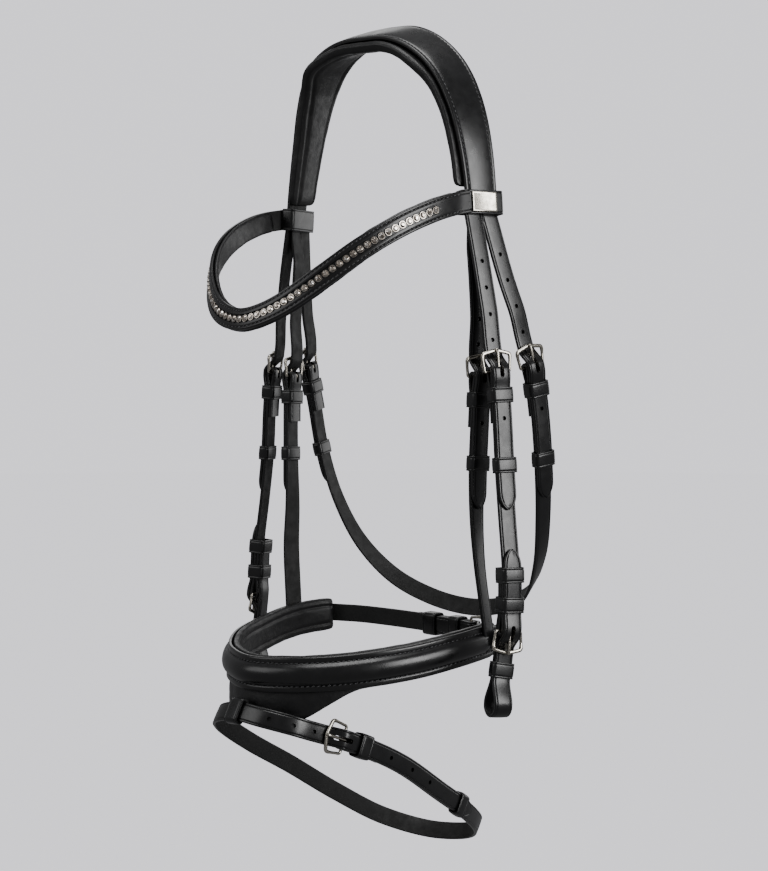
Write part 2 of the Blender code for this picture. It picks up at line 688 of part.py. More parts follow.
for leftover in list(bpy.data.objects):
    bpy.data.objects.remove(leftover)
SIDES = (("near", 1), ("off", -1))
LEATHER = finish_of("bridle_leather", (0.012, 0.012, 0.013), 0.38, 0.0)
SOFT_LEATHER = finish_of("padding_leather", (0.016, 0.016, 0.017), 0.5, 0.0)
STEEL = finish_of("stainless_steel", (0.62, 0.6, 0.57), 0.25, 1.0)
CRYSTAL = finish_of("crystal_chain", (0.75, 0.72, 0.68), 0.15, 0.6)
build_headpiece()
for tag, side in SIDES:
    build_cheekpiece(tag, side)
    build_hanger(tag, side)
build_throatlatch()
build_browband()
build_noseband()
build_chin_strap()
build_flash()
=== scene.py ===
"""Looks of a snaffle bridle: padded headpiece, crystal browband, cheekpieces, noseband, flash
strap and throatlatch, hanging as on a horse's head.

+Z is up, the horse faces -Y and its near (left) side is +X. Lengths are in millimetres until a
mesh is laid in its place, which is in metres. Routes are the part's own, written for the near
side. Each strap is cut as a flat blank, creased and punched, and then laid along its line.
"""

import logging
import math
from dataclasses import dataclass, field
from enum import Enum
from typing import Callable, Optional

import bpy
import numpy as np
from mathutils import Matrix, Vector, noise


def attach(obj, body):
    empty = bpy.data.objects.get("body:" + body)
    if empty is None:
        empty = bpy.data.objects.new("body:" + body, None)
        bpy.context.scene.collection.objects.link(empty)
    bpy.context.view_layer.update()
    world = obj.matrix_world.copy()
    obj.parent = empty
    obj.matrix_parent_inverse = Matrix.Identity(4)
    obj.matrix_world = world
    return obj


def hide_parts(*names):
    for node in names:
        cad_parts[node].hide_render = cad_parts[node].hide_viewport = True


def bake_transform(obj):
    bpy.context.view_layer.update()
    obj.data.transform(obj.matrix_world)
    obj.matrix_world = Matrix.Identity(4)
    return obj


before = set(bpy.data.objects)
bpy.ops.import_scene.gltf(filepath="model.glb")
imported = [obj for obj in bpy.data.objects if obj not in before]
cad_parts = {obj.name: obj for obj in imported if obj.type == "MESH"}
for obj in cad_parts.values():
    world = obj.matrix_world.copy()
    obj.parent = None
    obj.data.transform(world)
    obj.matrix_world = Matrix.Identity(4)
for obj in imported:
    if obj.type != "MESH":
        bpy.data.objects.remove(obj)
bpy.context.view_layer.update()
LOG = logging.getLogger("bridle")

MM = 0.001
STRAP_WIDTH, STRAP_THICK, GAP = 13.0, 2.3, 0.3
HALF_THICK = STRAP_THICK / 2
# Heights over a route of the middle of the strap next to it, and of the one on top of that.
REST = HALF_THICK + GAP / 2
TOP_REST = 3 * REST
# Where a loop's inner faces lie: behind the layers, under the top one, and over it.
LAYERS_BACK, UNDER_TOP, OVER_TOP = -REST - HALF_THICK, REST - HALF_THICK, TOP_REST + HALF_THICK
HOLE_RADIUS, HOLE_PITCH = 1.5, 18.0
# A buckle: its bar's radius, half its width at the bar and at the front edge, and its length.
BAR, BAR_HALF, EDGE_HALF, BUCKLE_LENGTH = 1.1, 9.4, 10.2, 13.0
TONGUE, TONGUE_REACH = 0.95, 15.8
FOLD_RADIUS = BAR + GAP + HALF_THICK
# Heights of a billet over the bar and under the front edge, and of the bit billet's inner leg.
OVER_BAR = FOLD_RADIUS + STRAP_THICK + 2 * GAP
UNDER_EDGE = -FOLD_RADIUS
INNER_LEG = -(FOLD_RADIUS + STRAP_THICK + GAP)
# How far a sewn fold runs back, the degrees from point to point of its turn, and which of them
# is at its nose.
FOLD_BACK, FOLD_STEP, NOSE = 34.0, 12, 7
# Slots that a tongue swings out through: radius and spare length, and a billet slot's place.
BILLET_SLOT, SLOT_MIDDLE = (1.6, 10.4), 2.7
FOLD_SLOT = (1.6, 13.4)
# The length of a punch, and the thin web that it leaves behind a hole no tongue has used.
PUNCH, HOLE_WEB = 20.0, 0.35
KEEPER_WALL, KEEPER_TALL, KEEPER_PLAY, KEEPER_AT = 1.3, 10.3, 0.4, 15.5
SEAM = 0.25
SIDE_TURN = 17.0
TIP_LENGTH = 12.0
# From one row of a strap's mesh to the next: plain, and where it bends round a buckle.
STEP, BEND_STEP = 3.0, 1.5
# Points to a span of a route, and the chord that its way along is measured on.
SPAN_POINTS, CHORD = 16, 8.0
# How wide and how strong the dark dye on a cut edge is.
RIM_WIDTH, RIM_DARK = 0.5, 0.6
CLOTH_FRAMES = 12
# Creases in soft leather: depth in millimetres, and how many there are to a metre.
CREASES = ((0.22, 110), (0.1, 420))

CROWN_PATH = [(0, -3.16, 8.69), (20, -2.8, 6.5), (38, -1.8, -1), (54, -0.8, -13), (66, -0.2, -27),
              (75, 0, -43), (82, 0, -61), (87, 0.2, -82), (90, 0.5, -104), (91.5, 0.5, -123.5)]
CROWN_OFF_PATH = [(0, -3.16, 8.69), (20, -3.2, 9), (38, -3, 5), (54, -3, -4), (65, -3, -19),
                  (72, -3, -37), (78, -2, -57), (84, -1, -80), (89.5, 0.4, -104),
                  (91.5, 0.5, -123.5)]
BROW_PATH = [(93, -12.2, -115), (95, -28, -118), (93, -45, -123), (86, -70, -134), (74, -93, -149),
             (58, -111, -166), (36, -125, -183), (18, -131, -191), (0, -133, -194)]
NOSE_PATH = [(82.5, 28, -413), (87, 5, -414), (87, -18, -416), (80, -48.5, -420),
             (67.5, -77.5, -423),
             (50, -99.5, -425.5), (28, -116.5, -427), (0, -125, -428)]
CHIN_PATH = [(-78.5, 30.5, -413), (-62, 37, -413), (-32, 41, -413), (0, 42, -413), (32, 41, -413),
             (62, 37, -413), (78.5, 30.5, -413)]
CHEEK_PATH = [(92, -6.5, -127), (98, -6, -155), (104.5, -5, -190), (110.4, -5, -220),
              (114, -5, -255),
              (116.5, -5, -291), (120.5, -6, -325), (125, -7.5, -360), (126, -9, -390),
              (126, -12, -414), (126, -16, -436), (126, -18, -456)]
HANGER_PATH = [(86.5, -1.5, -127), (89.5, -1, -160), (92, -1.5, -195), (93, -2, -223),
               (92.5, -3, -260), (91.5, -4, -297), (91.5, -4, -330), (91, -0.5, -360),
               (89, 9, -398)]
HANGER_OFF_PATH = HANGER_PATH[:-2] + [(91.5, -5.5, -360), (90, -5, -398)]
THROAT_PATH = [(93.5, 9.5, -130), (100, 17, -165), (106.5, 25, -195), (110.8, 30, -219),
               (110.5, 38, -252), (108.5, 45, -290), (102, 54, -327), (89, 66, -361),
               (67, 79, -387),
               (36, 87, -401), (0, 90, -406)]
FLASH_PATH = [(0, -137, -452), (22, -134, -453.5), (41, -117, -460), (50.5, -81, -474),
              (53, -40, -494), (51, 3, -522), (43, 42, -546), (25, 73, -566), (0, 85, -577),
              (-25, 76, -579), (-43, 44, -566), (-51, 2, -541), (-53, -42, -513),
              (-49.5, -82, -490), (-40, -117.5, -468), (-22, -134, -457)]
FLASH_ACROSS = Vector((0, 0.516, 0.857))

Frames = tuple[np.ndarray, np.ndarray, np.ndarray]
Section = Callable[[float], tuple[np.ndarray, np.ndarray, np.ndarray]]
Hole = tuple[float, float, float]


class Side(Enum):
    """A side of the horse."""

    NEAR = "near"
    OFF = "off"

    @property
    def sign(self) -> int:
        """1 on the near side, where routes are written, and -1 on the off side."""
        return 1 if self is Side.NEAR else -1


class Slot(Enum):
    """The record's material slots."""

    LEATHER = "bridle_leather"
    PADDING = "padding_leather"
    STEEL = "stainless_steel"
    CRYSTAL = "crystal_chain"


# ---------------------------------------------------------------- finishes


def linear(code: str) -> tuple[float, float, float, float]:
    """Turns an sRGB hex colour to the linear colour that a shader takes.

    Args:
        code: The colour, such as "#1A1A1B".

    Returns:
        Red, green, blue and a full alpha.
    """
    parts = [int(code[k:k + 2], 16) / 255 for k in (1, 3, 5)]
    r, g, b = (c / 12.92 if c <= 0.04045 else ((c + 0.055) / 1.055) ** 2.4 for c in parts)
    return r, g, b, 1.0


def add_node(tree: bpy.types.NodeTree, kind: str, settings: Optional[dict] = None,
             links: Optional[dict] = None) -> bpy.types.Node:
    """Adds a node with its settings and its links.

    Args:
        tree: The material's node tree.
        kind: The node's type.
        settings: Values by property name, or by an input's name or number.
        links: Sockets of earlier nodes by this node's input name or number.

    Returns:
        The new node.
    """
    node = tree.nodes.new(kind)
    for key, value in (settings or {}).items():
        if isinstance(key, int) or key in node.inputs:
            node.inputs[key].default_value = value
        else:
            setattr(node, key, value)
    for key, source in (links or {}).items():
        tree.links.new(source, node.inputs[key])
    return node


def ramp(tree: bpy.types.NodeTree, source: bpy.types.NodeSocket,
         stops: list[tuple[float, tuple]]) -> bpy.types.NodeSocket:
    """Adds a colour ramp after a socket.

    Args:
        tree: The material's node tree.
        source: The value that picks the colour.
        stops: Places from 0 to 1 with their colours, two or more.

    Returns:
        The ramp's colour socket.
    """
    node = add_node(tree, "ShaderNodeValToRGB", links={"Fac": source})
    marks = node.color_ramp.elements
    for mark, (place, colour) in zip(marks, (stops[0], stops[-1])):
        mark.position, mark.color = place, colour
    for place, colour in stops[1:-1]:
        marks.new(place).color = colour
    return node.outputs["Color"]


def grey(value: float) -> tuple[float, float, float, float]:
    """A roughness as the colour of a ramp's stop."""
    return value, value, value, 1.0


# Patterns' scales are 1 over their real size in metres.


@dataclass(frozen=True)
class Finish:
    """What every finish has: a name and a way to start and end its material."""

    name: str

    def start(self) -> tuple[bpy.types.Material, bpy.types.NodeTree, bpy.types.NodeSocket]:
        """Makes an empty material.

        Returns:
            The material, its node tree and its Object coordinates.
        """
        made = bpy.data.materials.new(self.name)
        made.use_nodes = True
        made.node_tree.nodes.clear()
        place = add_node(made.node_tree, "ShaderNodeTexCoord").outputs["Object"]
        return made, made.node_tree, place

    def end(self, tree: bpy.types.NodeTree, settings: dict, links: dict) -> None:
        """Adds the shader with its settings and links, and the output."""
        shader = add_node(tree, "ShaderNodeBsdfPrincipled", settings, links)
        add_node(tree, "ShaderNodeOutputMaterial", links={"Surface": shader.outputs["BSDF"]})


@dataclass(frozen=True)
class Leather(Finish):
    """Vegetable-tanned cowhide, dyed through and finished with wax or left rough."""

    dark: str
    light: str
    rough: tuple[float, float]
    grain_mm: float
    grain_depth: float
    crinkle_depth: float = 0.0
    coat: float = 0.0

    def build(self) -> bpy.types.Material:
        """Makes the material.

        Returns:
            The material: a mottled dye, pores, soft crinkles and an uneven shine.
        """
        made, tree, place = self.start()
        mottle = add_node(tree, "ShaderNodeTexNoise", {"Scale": 1 / 0.014, "Detail": 4.0},
                          {"Vector": place})
        colour = ramp(tree, mottle.outputs["Fac"],
                      [(0.3, linear(self.dark)), (0.72, linear(self.light))])
        rim = add_node(tree, "ShaderNodeAttribute", {"attribute_name": "rim"})
        worn = add_node(tree, "ShaderNodeMix", {"data_type": "RGBA", 7: linear("#060606")},
                        {0: rim.outputs["Fac"], 6: colour})
        low, high = map(grey, self.rough)
        shine = add_node(tree, "ShaderNodeTexNoise", {"Scale": 1 / 0.006, "Detail": 3.0},
                         {"Vector": place})
        rough = ramp(tree, shine.outputs["Fac"], [(0.35, low), (0.7, high)])
        pores = add_node(tree, "ShaderNodeTexVoronoi", {"Scale": 1000 / self.grain_mm},
                         {"Vector": place})
        fine = add_node(tree, "ShaderNodeBump",
                        {"Strength": 0.6, "Distance": self.grain_depth * MM},
                        {"Height": pores.outputs["Distance"]})
        normal = fine.outputs["Normal"]
        if self.crinkle_depth:
            creased = add_node(tree, "ShaderNodeTexNoise",
                               {"Scale": 1 / 0.0045, "Detail": 5.0, "Distortion": 0.8},
                               {"Vector": place})
            broad = add_node(tree, "ShaderNodeBump",
                             {"Strength": 0.7, "Distance": self.crinkle_depth * MM},
                             {"Height": creased.outputs["Fac"], "Normal": normal})
            normal = broad.outputs["Normal"]
        self.end(tree, {"Coat Weight": self.coat, "Coat Roughness": 0.22, "IOR": 1.5,
                        "Specular IOR Level": 0.5},
                 {"Base Color": worn.outputs[2], "Roughness": rough, "Normal": normal})
        return made


@dataclass(frozen=True)
class Metal(Finish):
    """A cast and tumbled metal with fine handling scratches."""

    colour: str
    tarnish: str
    rough: tuple[float, float]

    def build(self) -> bpy.types.Material:
        """Makes the material.

        Returns:
            The material: a polish that a little film and hair scratches break up.
        """
        made, tree, place = self.start()
        film = add_node(tree, "ShaderNodeTexNoise", {"Scale": 1 / 0.004, "Detail": 4.0},
                        {"Vector": place})
        colour = ramp(tree, film.outputs["Fac"],
                      [(0.3, linear(self.tarnish)), (0.6, linear(self.colour))])
        low, high = map(grey, self.rough)
        rough = ramp(tree, film.outputs["Fac"], [(0.35, high), (0.65, low)])
        # Real scratches are hundredths of a millimetre wide. These are 0.5 mm apart, so that
        # they show.
        stretch = add_node(tree, "ShaderNodeMapping", {"Scale": (300, 2200, 900)},
                           {"Vector": place})
        scratch = add_node(tree, "ShaderNodeTexNoise", {"Scale": 1.0, "Detail": 2.0},
                           {"Vector": stretch.outputs["Vector"]})
        bump = add_node(tree, "ShaderNodeBump", {"Strength": 0.25, "Distance": 0.00004},
                        {"Height": scratch.outputs["Fac"]})
        self.end(tree, {"Metallic": 1.0},
                 {"Base Color": colour, "Roughness": rough, "Normal": bump.outputs["Normal"]})
        return made


@dataclass(frozen=True)
class FoiledCrystal(Finish):
    """Cut glass with a silver foil behind it; each facet's bright or dark reflection is painted in
    its colour.
    """

    bright: str
    dim: str

    def build(self) -> bpy.types.Material:
        """Makes the material.

        Returns:
            The material: clear facets over a silvery back, with painted highlights and painted dark
                reflections, some warmer than others.
        """
        made, tree, place = self.start()
        # Stones are about 5 mm apart, and a pattern a third of that gives each its own facets of
        # painted highlight and painted dark reflection.
        painted_glint_cells = add_node(tree, "ShaderNodeTexVoronoi", {"Scale": 1 / 0.0016}, {"Vector": place})
        painted_glint_pick = add_node(tree, "ShaderNodeSeparateColor", links={"Color": painted_glint_cells.outputs["Color"]})
        colour = ramp(tree, painted_glint_pick.outputs["Red"],
                      [(0.0, linear(self.dim)), (0.5, linear("#C9BCAE")),
                                                   (1.0, linear(self.bright))])
        self.end(tree, {"Metallic": 0.85, "Roughness": 0.06, "Coat Weight": 1.0,
                        "Coat Roughness": 0.02}, {"Base Color": colour})
        return made


@dataclass(frozen=True)
class Thread(Finish):
    """Waxed linen or polyester thread, twisted from plies."""

    dark: str
    light: str

    def build(self) -> bpy.types.Material:
        """Makes the material.

        Returns:
            The material: dull dark thread with a painted highlight along its plies, and their
                relief.
        """
        made, tree, place = self.start()
        ply_and_painted_highlight = add_node(tree, "ShaderNodeTexWave", {"Scale": 1 / 0.0022, "Distortion": 2.0},
                       {"Vector": place})
        # The light stops are painted highlight on the plies; the thread itself is black.
        colour = ramp(tree, ply_and_painted_highlight.outputs["Fac"],
                      [(0.2, linear(self.dark)), (0.9, linear(self.light))])
        bump = add_node(tree, "ShaderNodeBump", {"Strength": 0.5, "Distance": 0.00008},
                        {"Height": ply_and_painted_highlight.outputs["Fac"]})
        self.end(tree, {"Roughness": 0.62, "Sheen Weight": 0.2},
                 {"Base Color": colour, "Normal": bump.outputs["Normal"]})
        return made


@dataclass(frozen=True)
class LitFloor(Finish):
    """A table of opal acrylic lit from below, so that the floor is as bright as the air behind."""

    light: str
    dark: str
    glow: tuple[float, float, float, float]

    def build(self) -> bpy.types.Material:
        """Makes the material.

        Returns:
            The material: an even pale glow with a matt face.
        """
        made, tree, place = self.start()
        cloud = add_node(tree, "ShaderNodeTexNoise", {"Scale": 1.3, "Detail": 2.0},
                         {"Vector": place})
        colour = ramp(tree, cloud.outputs["Fac"],
                      [(0.3, linear(self.dark)), (0.7, linear(self.light))])
        self.end(tree, {"Roughness": 0.95, "Specular IOR Level": 0.1, "Emission Color": self.glow,
                        "Emission Strength": 0.97}, {"Base Color": colour})
        return made


# Bridle butt, dyed black, rolled smooth and waxed: a close grain with a soft satin shine.
GRAIN = Leather("bridle_leather_waxed", "#040405", "#0A0A0B", (0.27, 0.36), 0.8, 0.015,
                coat=0.2).build()
# The same hide's flesh side, shaved and slicked: no shine, and a nap in place of grain.
FLESH = Leather("bridle_leather_flesh_side", "#0A0A0A", "#141413", (0.55, 0.75), 0.5, 0.12).build()
# Drum-milled nappa over foam: soft pebbled grain with fine creases and a dull glow.
NAPPA = Leather("nappa_lining_leather", "#060607", "#0E0E0F", (0.38, 0.52), 0.9, 0.1, 0.3).build()
# Investment-cast stainless steel, tumbled and buffed: bright and a little warm.
STEEL = Metal("stainless_steel_buffed", "#BFBAB0", "#9A958B", (0.12, 0.26)).build()
# Silver-plated brass cups, pressed: whiter than the steel and softer in shine.
CUP = Metal("silver_plated_cups", "#CFC8BF", "#8D867D", (0.14, 0.3)).build()
# Foil-backed crystal, its facets coloured from near white to dark grey as painted highlights and
# painted dark reflections.
STONE = FoiledCrystal("foil_backed_crystal", "#FFFDF8", "#6E665E").build()
# Waxed black thread, coloured lighter grey along its plies as painted highlight, so it shows as
# dull grey beads on the shining leather.
THREAD = Thread("waxed_thread", "#232324", "#5C5C5F").build()


# ---------------------------------------------------------------- routes and lines


def mix(a: float, b: float, t: float) -> float:
    """From a to b as t goes from 0 to 1, easing in and out."""
    t = min(max(t, 0.0), 1.0)
    return a + (b - a) * t * t * (3 - 2 * t)


def eased(t: float) -> float:
    """From 0 to 1 as t does, easing in and out."""
    return mix(0, 1, t)


def turned(angle: float) -> Vector:
    """The way across a hanging strap whose face is turned `angle` degrees to the front."""
    a = math.radians(angle)
    return Vector((math.sin(a), math.cos(a), 0))


def flipped(point: tuple | Vector) -> Vector:
    """The point's mirror image on the other side of the horse."""
    return Vector((-point[0], point[1], point[2]))


def whole(path: list) -> list:
    """A near-side half path and its mirror image as one, ending on the off side."""
    return path + [flipped(p) for p in path[-2::-1]]


def middleness(share: float) -> float:
    """0 at either end of a whole route and 1 at its middle."""
    return 1 - abs(2 * share - 1)


def curve_through(points: list) -> list[Vector]:
    """A dense line on a centripetal Catmull-Rom curve.

    Args:
        points: The points that it passes through.

    Returns:
        The points for each span in turn, and the last point.
    """
    knots = [Vector(p) for p in points]
    knots = [knots[0] * 2 - knots[1], *knots, knots[-1] * 2 - knots[-2]]
    dense = []
    for a, b, c, d in zip(knots, knots[1:], knots[2:], knots[3:]):
        tb = (b - a).length ** 0.5
        tc = tb + (c - b).length ** 0.5
        td = tc + (d - c).length ** 0.5
        for step in range(SPAN_POINTS):
            t = tb + (tc - tb) * step / SPAN_POINTS
            ab, bc = a.lerp(b, t / tb), b.lerp(c, (t - tb) / (tc - tb))
            cd = c.lerp(d, (t - tc) / (td - tc))
            first, second = ab.lerp(bc, t / tc), bc.lerp(cd, (t - tb) / (td - tb))
            dense.append(first.lerp(second, (t - tb) / (tc - tb)))
    dense.append(knots[-2])
    return dense


class Route:
    """A strap's middle line, with its ways along, across and out of its face at any length."""

    def __init__(self, points: list, across: Optional[Callable[[float], Vector]]) -> None:
        """Measures the curve through the points.

        Args:
            points: The points it passes through.
            across: The way across at each share of its length.
        """
        dense = curve_through(points)
        steps = [(b - a).length for a, b in zip(dense, dense[1:])]
        self.reach = np.concatenate([[0.0], np.cumsum(steps)])
        self.columns = np.array([tuple(p) for p in dense])
        self.length = float(self.reach[-1])
        self.across = across

    def spot(self, s: float) -> Vector:
        """The point at length s."""
        return Vector([float(np.interp(s, self.reach, self.columns[:, k])) for k in range(3)])

    def at(self, s: float) -> tuple[Vector, Vector, Vector, Vector]:
        """The place and ways at a length, going straight on past either end.

        Args:
            s: The length from the start, in millimetres.

        Returns:
            The place, and the ways along, across and out.
        """
        inside = min(max(s, 0.0), self.length)
        low = min(max(inside - CHORD / 2, 0.0), self.length - CHORD)
        along = (self.spot(low + CHORD) - self.spot(low)).normalized()
        way = self.across(inside / self.length)
        out = along.cross(way).normalized()
        return self.spot(inside) + along * (s - inside), along, out.cross(along), out

    def find(self, value: float, axis: int) -> float:
        """The length at which the line's coordinate on an axis comes nearest to a value."""
        return float(self.reach[int(np.argmin(abs(self.columns[:, axis] - value)))])


class Bench:
    """A buckle's own directions: u along the strap to its front edge, v across, n out."""

    def __init__(self, route: Route, s: float, towards: int) -> None:
        """Takes the directions of the route at length s."""
        self.place, along, self.v, self.n = route.at(s)
        self.u = along * towards

    def point(self, u: float, v: float, n: float) -> Vector:
        """The point at these distances."""
        return self.place + self.u * u + self.v * v + self.n * n


def rows(points: list[Vector]) -> np.ndarray:
    """The vectors as rows of an array."""
    return np.array([tuple(p) for p in points], float)


def unit(ways: np.ndarray) -> np.ndarray:
    """The rows at length 1."""
    return ways / np.maximum(np.linalg.norm(ways, axis=-1, keepdims=True), 1e-9)


class Lay:
    """Where a flat blank is laid: a place and the ways across and out at each length."""

    def __init__(self, points: list[Vector], outs: list[Vector], marks: Optional[list] = None,
                 closed: bool = False) -> None:
        """Measures the line; a closed one comes back to its first point.

        Args:
            points: The line.
            outs: The way out at each point.
            marks: Each point's length on its route.
            closed: Whether it is a loop.
        """
        place, way = rows(points), rows(outs)
        if closed:
            place, way = np.vstack([place, place[:1]]), np.vstack([way, way[:1]])
        along = np.gradient(place, axis=0)
        if closed:
            along[0] = along[-1] = place[1] - place[-2]
        along = unit(along)
        self.across = unit(np.cross(way, along))
        self.out = np.cross(along, self.across)
        self.place, self.along, self.marks, self.closed = place, along, marks, closed
        steps = np.linalg.norm(np.diff(place, axis=0), axis=1)
        self.reach = np.concatenate([[0.0], np.cumsum(steps)])

    @property
    def length(self) -> float:
        """The line's whole length."""
        return float(self.reach[-1])

    def frames(self, x: np.ndarray) -> Frames:
        """The place and the ways across and out at each length.

        Args:
            x: Lengths from the start.

        Returns:
            Three arrays with a row for each length.
        """
        found = []
        for table in (self.place, self.across, self.out):
            found.append(np.stack([np.interp(x, self.reach, table[:, k]) for k in range(3)],
                                  axis=-1))
        return found[0], unit(found[1]), unit(found[2])

    def put(self, flat: np.ndarray) -> np.ndarray:
        """Bends points (along, across, out) on to the line."""
        place, across, out = self.frames(flat[:, 0])
        return place + across * flat[:, 1:2] + out * flat[:, 2:3]

    def mark(self, s: float) -> float:
        """The length on this line, counted from its start, at length s of its route.

        Args:
            s: The route's length. Where the line passes it more than once, the last pass counts.

        Returns:
            The line's own length there.
        """
        for k in range(len(self.marks) - 1, 0, -1):
            a, b = self.marks[k - 1], self.marks[k]
            if a is None or b is None or a == b:
                continue
            if min(a, b) - 1e-6 <= s <= max(a, b) + 1e-6:
                share = (s - a) / (b - a)
                return float(self.reach[k - 1] + share * (self.reach[k] - self.reach[k - 1]))
        raise ValueError(f"the line doesn't pass {s}")


class Line:
    """Points down a strap's middle with the way out of its face at each, laid off from a route."""

    def __init__(self, route: Route) -> None:
        """Starts with no points.

        Args:
            route: What heights and lengths are laid off from.
        """
        self.route = route
        self.points: list[Vector] = []
        self.outs: list[Vector] = []
        self.marks: list[Optional[float]] = []

    def add(self, s: float, n: float, flip: int = 1) -> None:
        """Adds the point at length s and height n over the route.

        Args:
            s: The length on the route.
            n: The height over it.
            flip: -1 where the face is turned to the back.
        """
        place, _, _, out = self.route.at(s)
        point = place + out * n
        if self.points and (point - self.points[-1]).length < 0.05:
            return
        self.points.append(point)
        self.outs.append(out * flip)
        self.marks.append(s)

    def run(self, start: float, end: float, height: Callable[[float], float], step: float = STEP,
            flip: int = 1) -> None:
        """Adds points from start to end at the height over the route that height(s) gives.

        Args:
            start: The first length.
            end: The last length.
            height: The height at a length.
            step: About how far apart the points are.
            flip: -1 where the face is turned to the back.
        """
        count = max(1, round(abs(end - start) / step))
        for k in range(count + 1):
            s = start + (end - start) * k / count
            self.add(s, height(s), flip)

    def turn(self, s: float, towards: int, radius: float, sweep: tuple[int, int, int],
             sink: float = 0.0) -> float:
        """Adds a turn round the point at s.

        Args:
            s: The centre's length on the route.
            towards: 1 or -1, the way along the route that the turn's nose points.
            radius: The turn's radius.
            sweep: First angle, last angle and step, measured from the nose.
            sink: How far out of the route the centre lies.

        Returns:
            The number of points so far, which marks the turn's end.
        """
        place, along, _, out = self.route.at(s)
        for angle in range(sweep[0], sweep[1] + (1 if sweep[2] > 0 else -1), sweep[2]):
            a = math.radians(angle)
            spoke = along * (towards * math.cos(a)) + out * math.sin(a)
            self.points.append(place + spoke * radius + out * sink)
            self.outs.append(spoke)
            self.marks.append(None)
        return len(self.points)

    def inner_turn(self, bar: float, towards: int, outward: bool) -> None:
        """The sewn turn behind a buckle, running to the bar or away from it.

        Args:
            bar: The bar's length on the route.
            towards: 1 or -1, the way to the buckle's front.
            outward: Whether it runs to the bar.
        """
        ends = (bar - towards * FOLD_BACK, bar - towards * 1.5)
        start, end = ends if outward else ends[::-1]
        self.run(start, end, lambda s: -mix(FOLD_RADIUS, REST, (abs(s - bar) - 2) / 10), 1.8,
                 flip=-1)

    def fold_start(self, bar: float) -> None:
        """The sewn turn round a buckle's bar that a strap starts with."""
        self.inner_turn(bar, -1, True)
        self.turn(bar, -1, FOLD_RADIUS, (-90, 90, FOLD_STEP))

    def fold_end(self, bar: float) -> None:
        """The sewn turn round a buckle's bar that a strap ends with."""
        self.turn(bar, 1, FOLD_RADIUS, (90, -90, -FOLD_STEP))
        self.inner_turn(bar, 1, False)

    def billet(self, bar: float, towards: int, end: float) -> None:
        """From under the buckle's front edge, over its bar and on to the tip.

        Args:
            bar: The bar's length on the route.
            towards: 1 or -1, the way to the buckle's front.
            end: The tip's length.
        """
        edge = bar + towards * BUCKLE_LENGTH
        self.add(edge - towards * 0.5, UNDER_EDGE)
        for k in range(1, 12):
            share = k / 12
            height = mix(UNDER_EDGE, OVER_BAR, share * 1.1 - 0.05)
            self.add(edge - towards * BUCKLE_LENGTH * share, height)
        self.run(bar - towards * 0.6, bar - towards * 14,
                 lambda s: mix(OVER_BAR, TOP_REST, (abs(s - bar) - 2) / 10), 1.4)
        self.run(bar - towards * 16, end + towards * (TIP_LENGTH + 1), lambda s: TOP_REST)
        for back in (10.5, 9, 7.5, 6, 4.8, 3.7, 2.7, 1.9, 1.2, 0.65, 0.25, 0):
            self.add(end + towards * back, TOP_REST)

    def lay(self) -> Lay:
        """The line, measured."""
        return Lay(self.points, self.outs, self.marks)


# ---------------------------------------------------------------- making pieces


def select_only(*pieces: bpy.types.Object) -> None:
    """Selects these objects and nothing else, and makes the first one active.

    Args:
        *pieces: The objects.
    """
    bpy.ops.object.select_all(action="DESELECT")
    for piece in pieces:
        piece.select_set(True)
    bpy.context.view_layer.objects.active = pieces[0]


def edit(piece: bpy.types.Object, *steps: Callable[[], object]) -> None:
    """Runs edit-mode steps on all of a piece.

    Args:
        piece: The mesh.
        *steps: What to run in edit mode.
    """
    select_only(piece)
    bpy.ops.object.mode_set(mode="EDIT")
    bpy.ops.mesh.select_all(action="SELECT")
    for step in steps:
        step()
    bpy.ops.object.mode_set(mode="OBJECT")


# How near points are to be one point, in a finished piece and in a flat blank, and how short an
# edge is to be none, in millimetres.
SAME_POINT, SAME_CORNER, NO_EDGE = 0.004, 0.002, 0.0005


def tidy_normals(piece: bpy.types.Object) -> None:
    """Merges doubled points and turns the faces outwards.

    Args:
        piece: The mesh.
    """
    edit(piece, lambda: bpy.ops.mesh.remove_doubles(threshold=SAME_POINT * MM),
         lambda: bpy.ops.mesh.dissolve_degenerate(threshold=NO_EDGE * MM),
         lambda: bpy.ops.mesh.normals_make_consistent(inside=False))


def smooth(piece: bpy.types.Object, degrees: float = 38.0) -> None:
    """Shades a piece smooth, with edges sharper than the angle kept."""
    select_only(piece)
    bpy.ops.object.shade_smooth_by_angle(angle=math.radians(degrees))


def apply_modifier(piece: bpy.types.Object, kind: str, **settings: object) -> None:
    """Adds a modifier with its settings and applies it.

    Args:
        piece: The mesh.
        kind: The modifier's type.
        **settings: Its settings.
    """
    select_only(piece)
    modifier = piece.modifiers.new(kind.title(), kind)
    for name, value in settings.items():
        setattr(modifier, name, value)
    bpy.ops.object.modifier_apply(modifier=modifier.name)


def points_of(piece: bpy.types.Object) -> np.ndarray:
    """A piece's points, one to a row.

    Args:
        piece: The mesh.

    Returns:
        The points, in metres.
    """
    flat = np.empty(len(piece.data.vertices) * 3)
    piece.data.vertices.foreach_get("co", flat)
    return flat.reshape(-1, 3)


def set_points(piece: bpy.types.Object, points: np.ndarray) -> None:
    """Moves a piece's points."""
    piece.data.vertices.foreach_set("co", np.ascontiguousarray(points, float).ravel())
    piece.data.update()


def from_rows(name: str, points: np.ndarray, faces: list) -> bpy.types.Object:
    """A piece from points in millimetres and faces.

    Args:
        name: The piece's name.
        points: Its points, in millimetres.
        faces: Its faces.

    Returns:
        The piece.
    """
    mesh = bpy.data.meshes.new(name)
    mesh.from_pydata((points * MM).tolist(), [], faces)
    made = bpy.data.objects.new(name, mesh)
    bpy.context.scene.collection.objects.link(made)
    return made


def mirror(piece: bpy.types.Object, side: Side) -> None:
    """Moves a near-side piece to the side it is for."""
    if side is Side.OFF:
        set_points(piece, points_of(piece) * np.array([-1, 1, 1]))


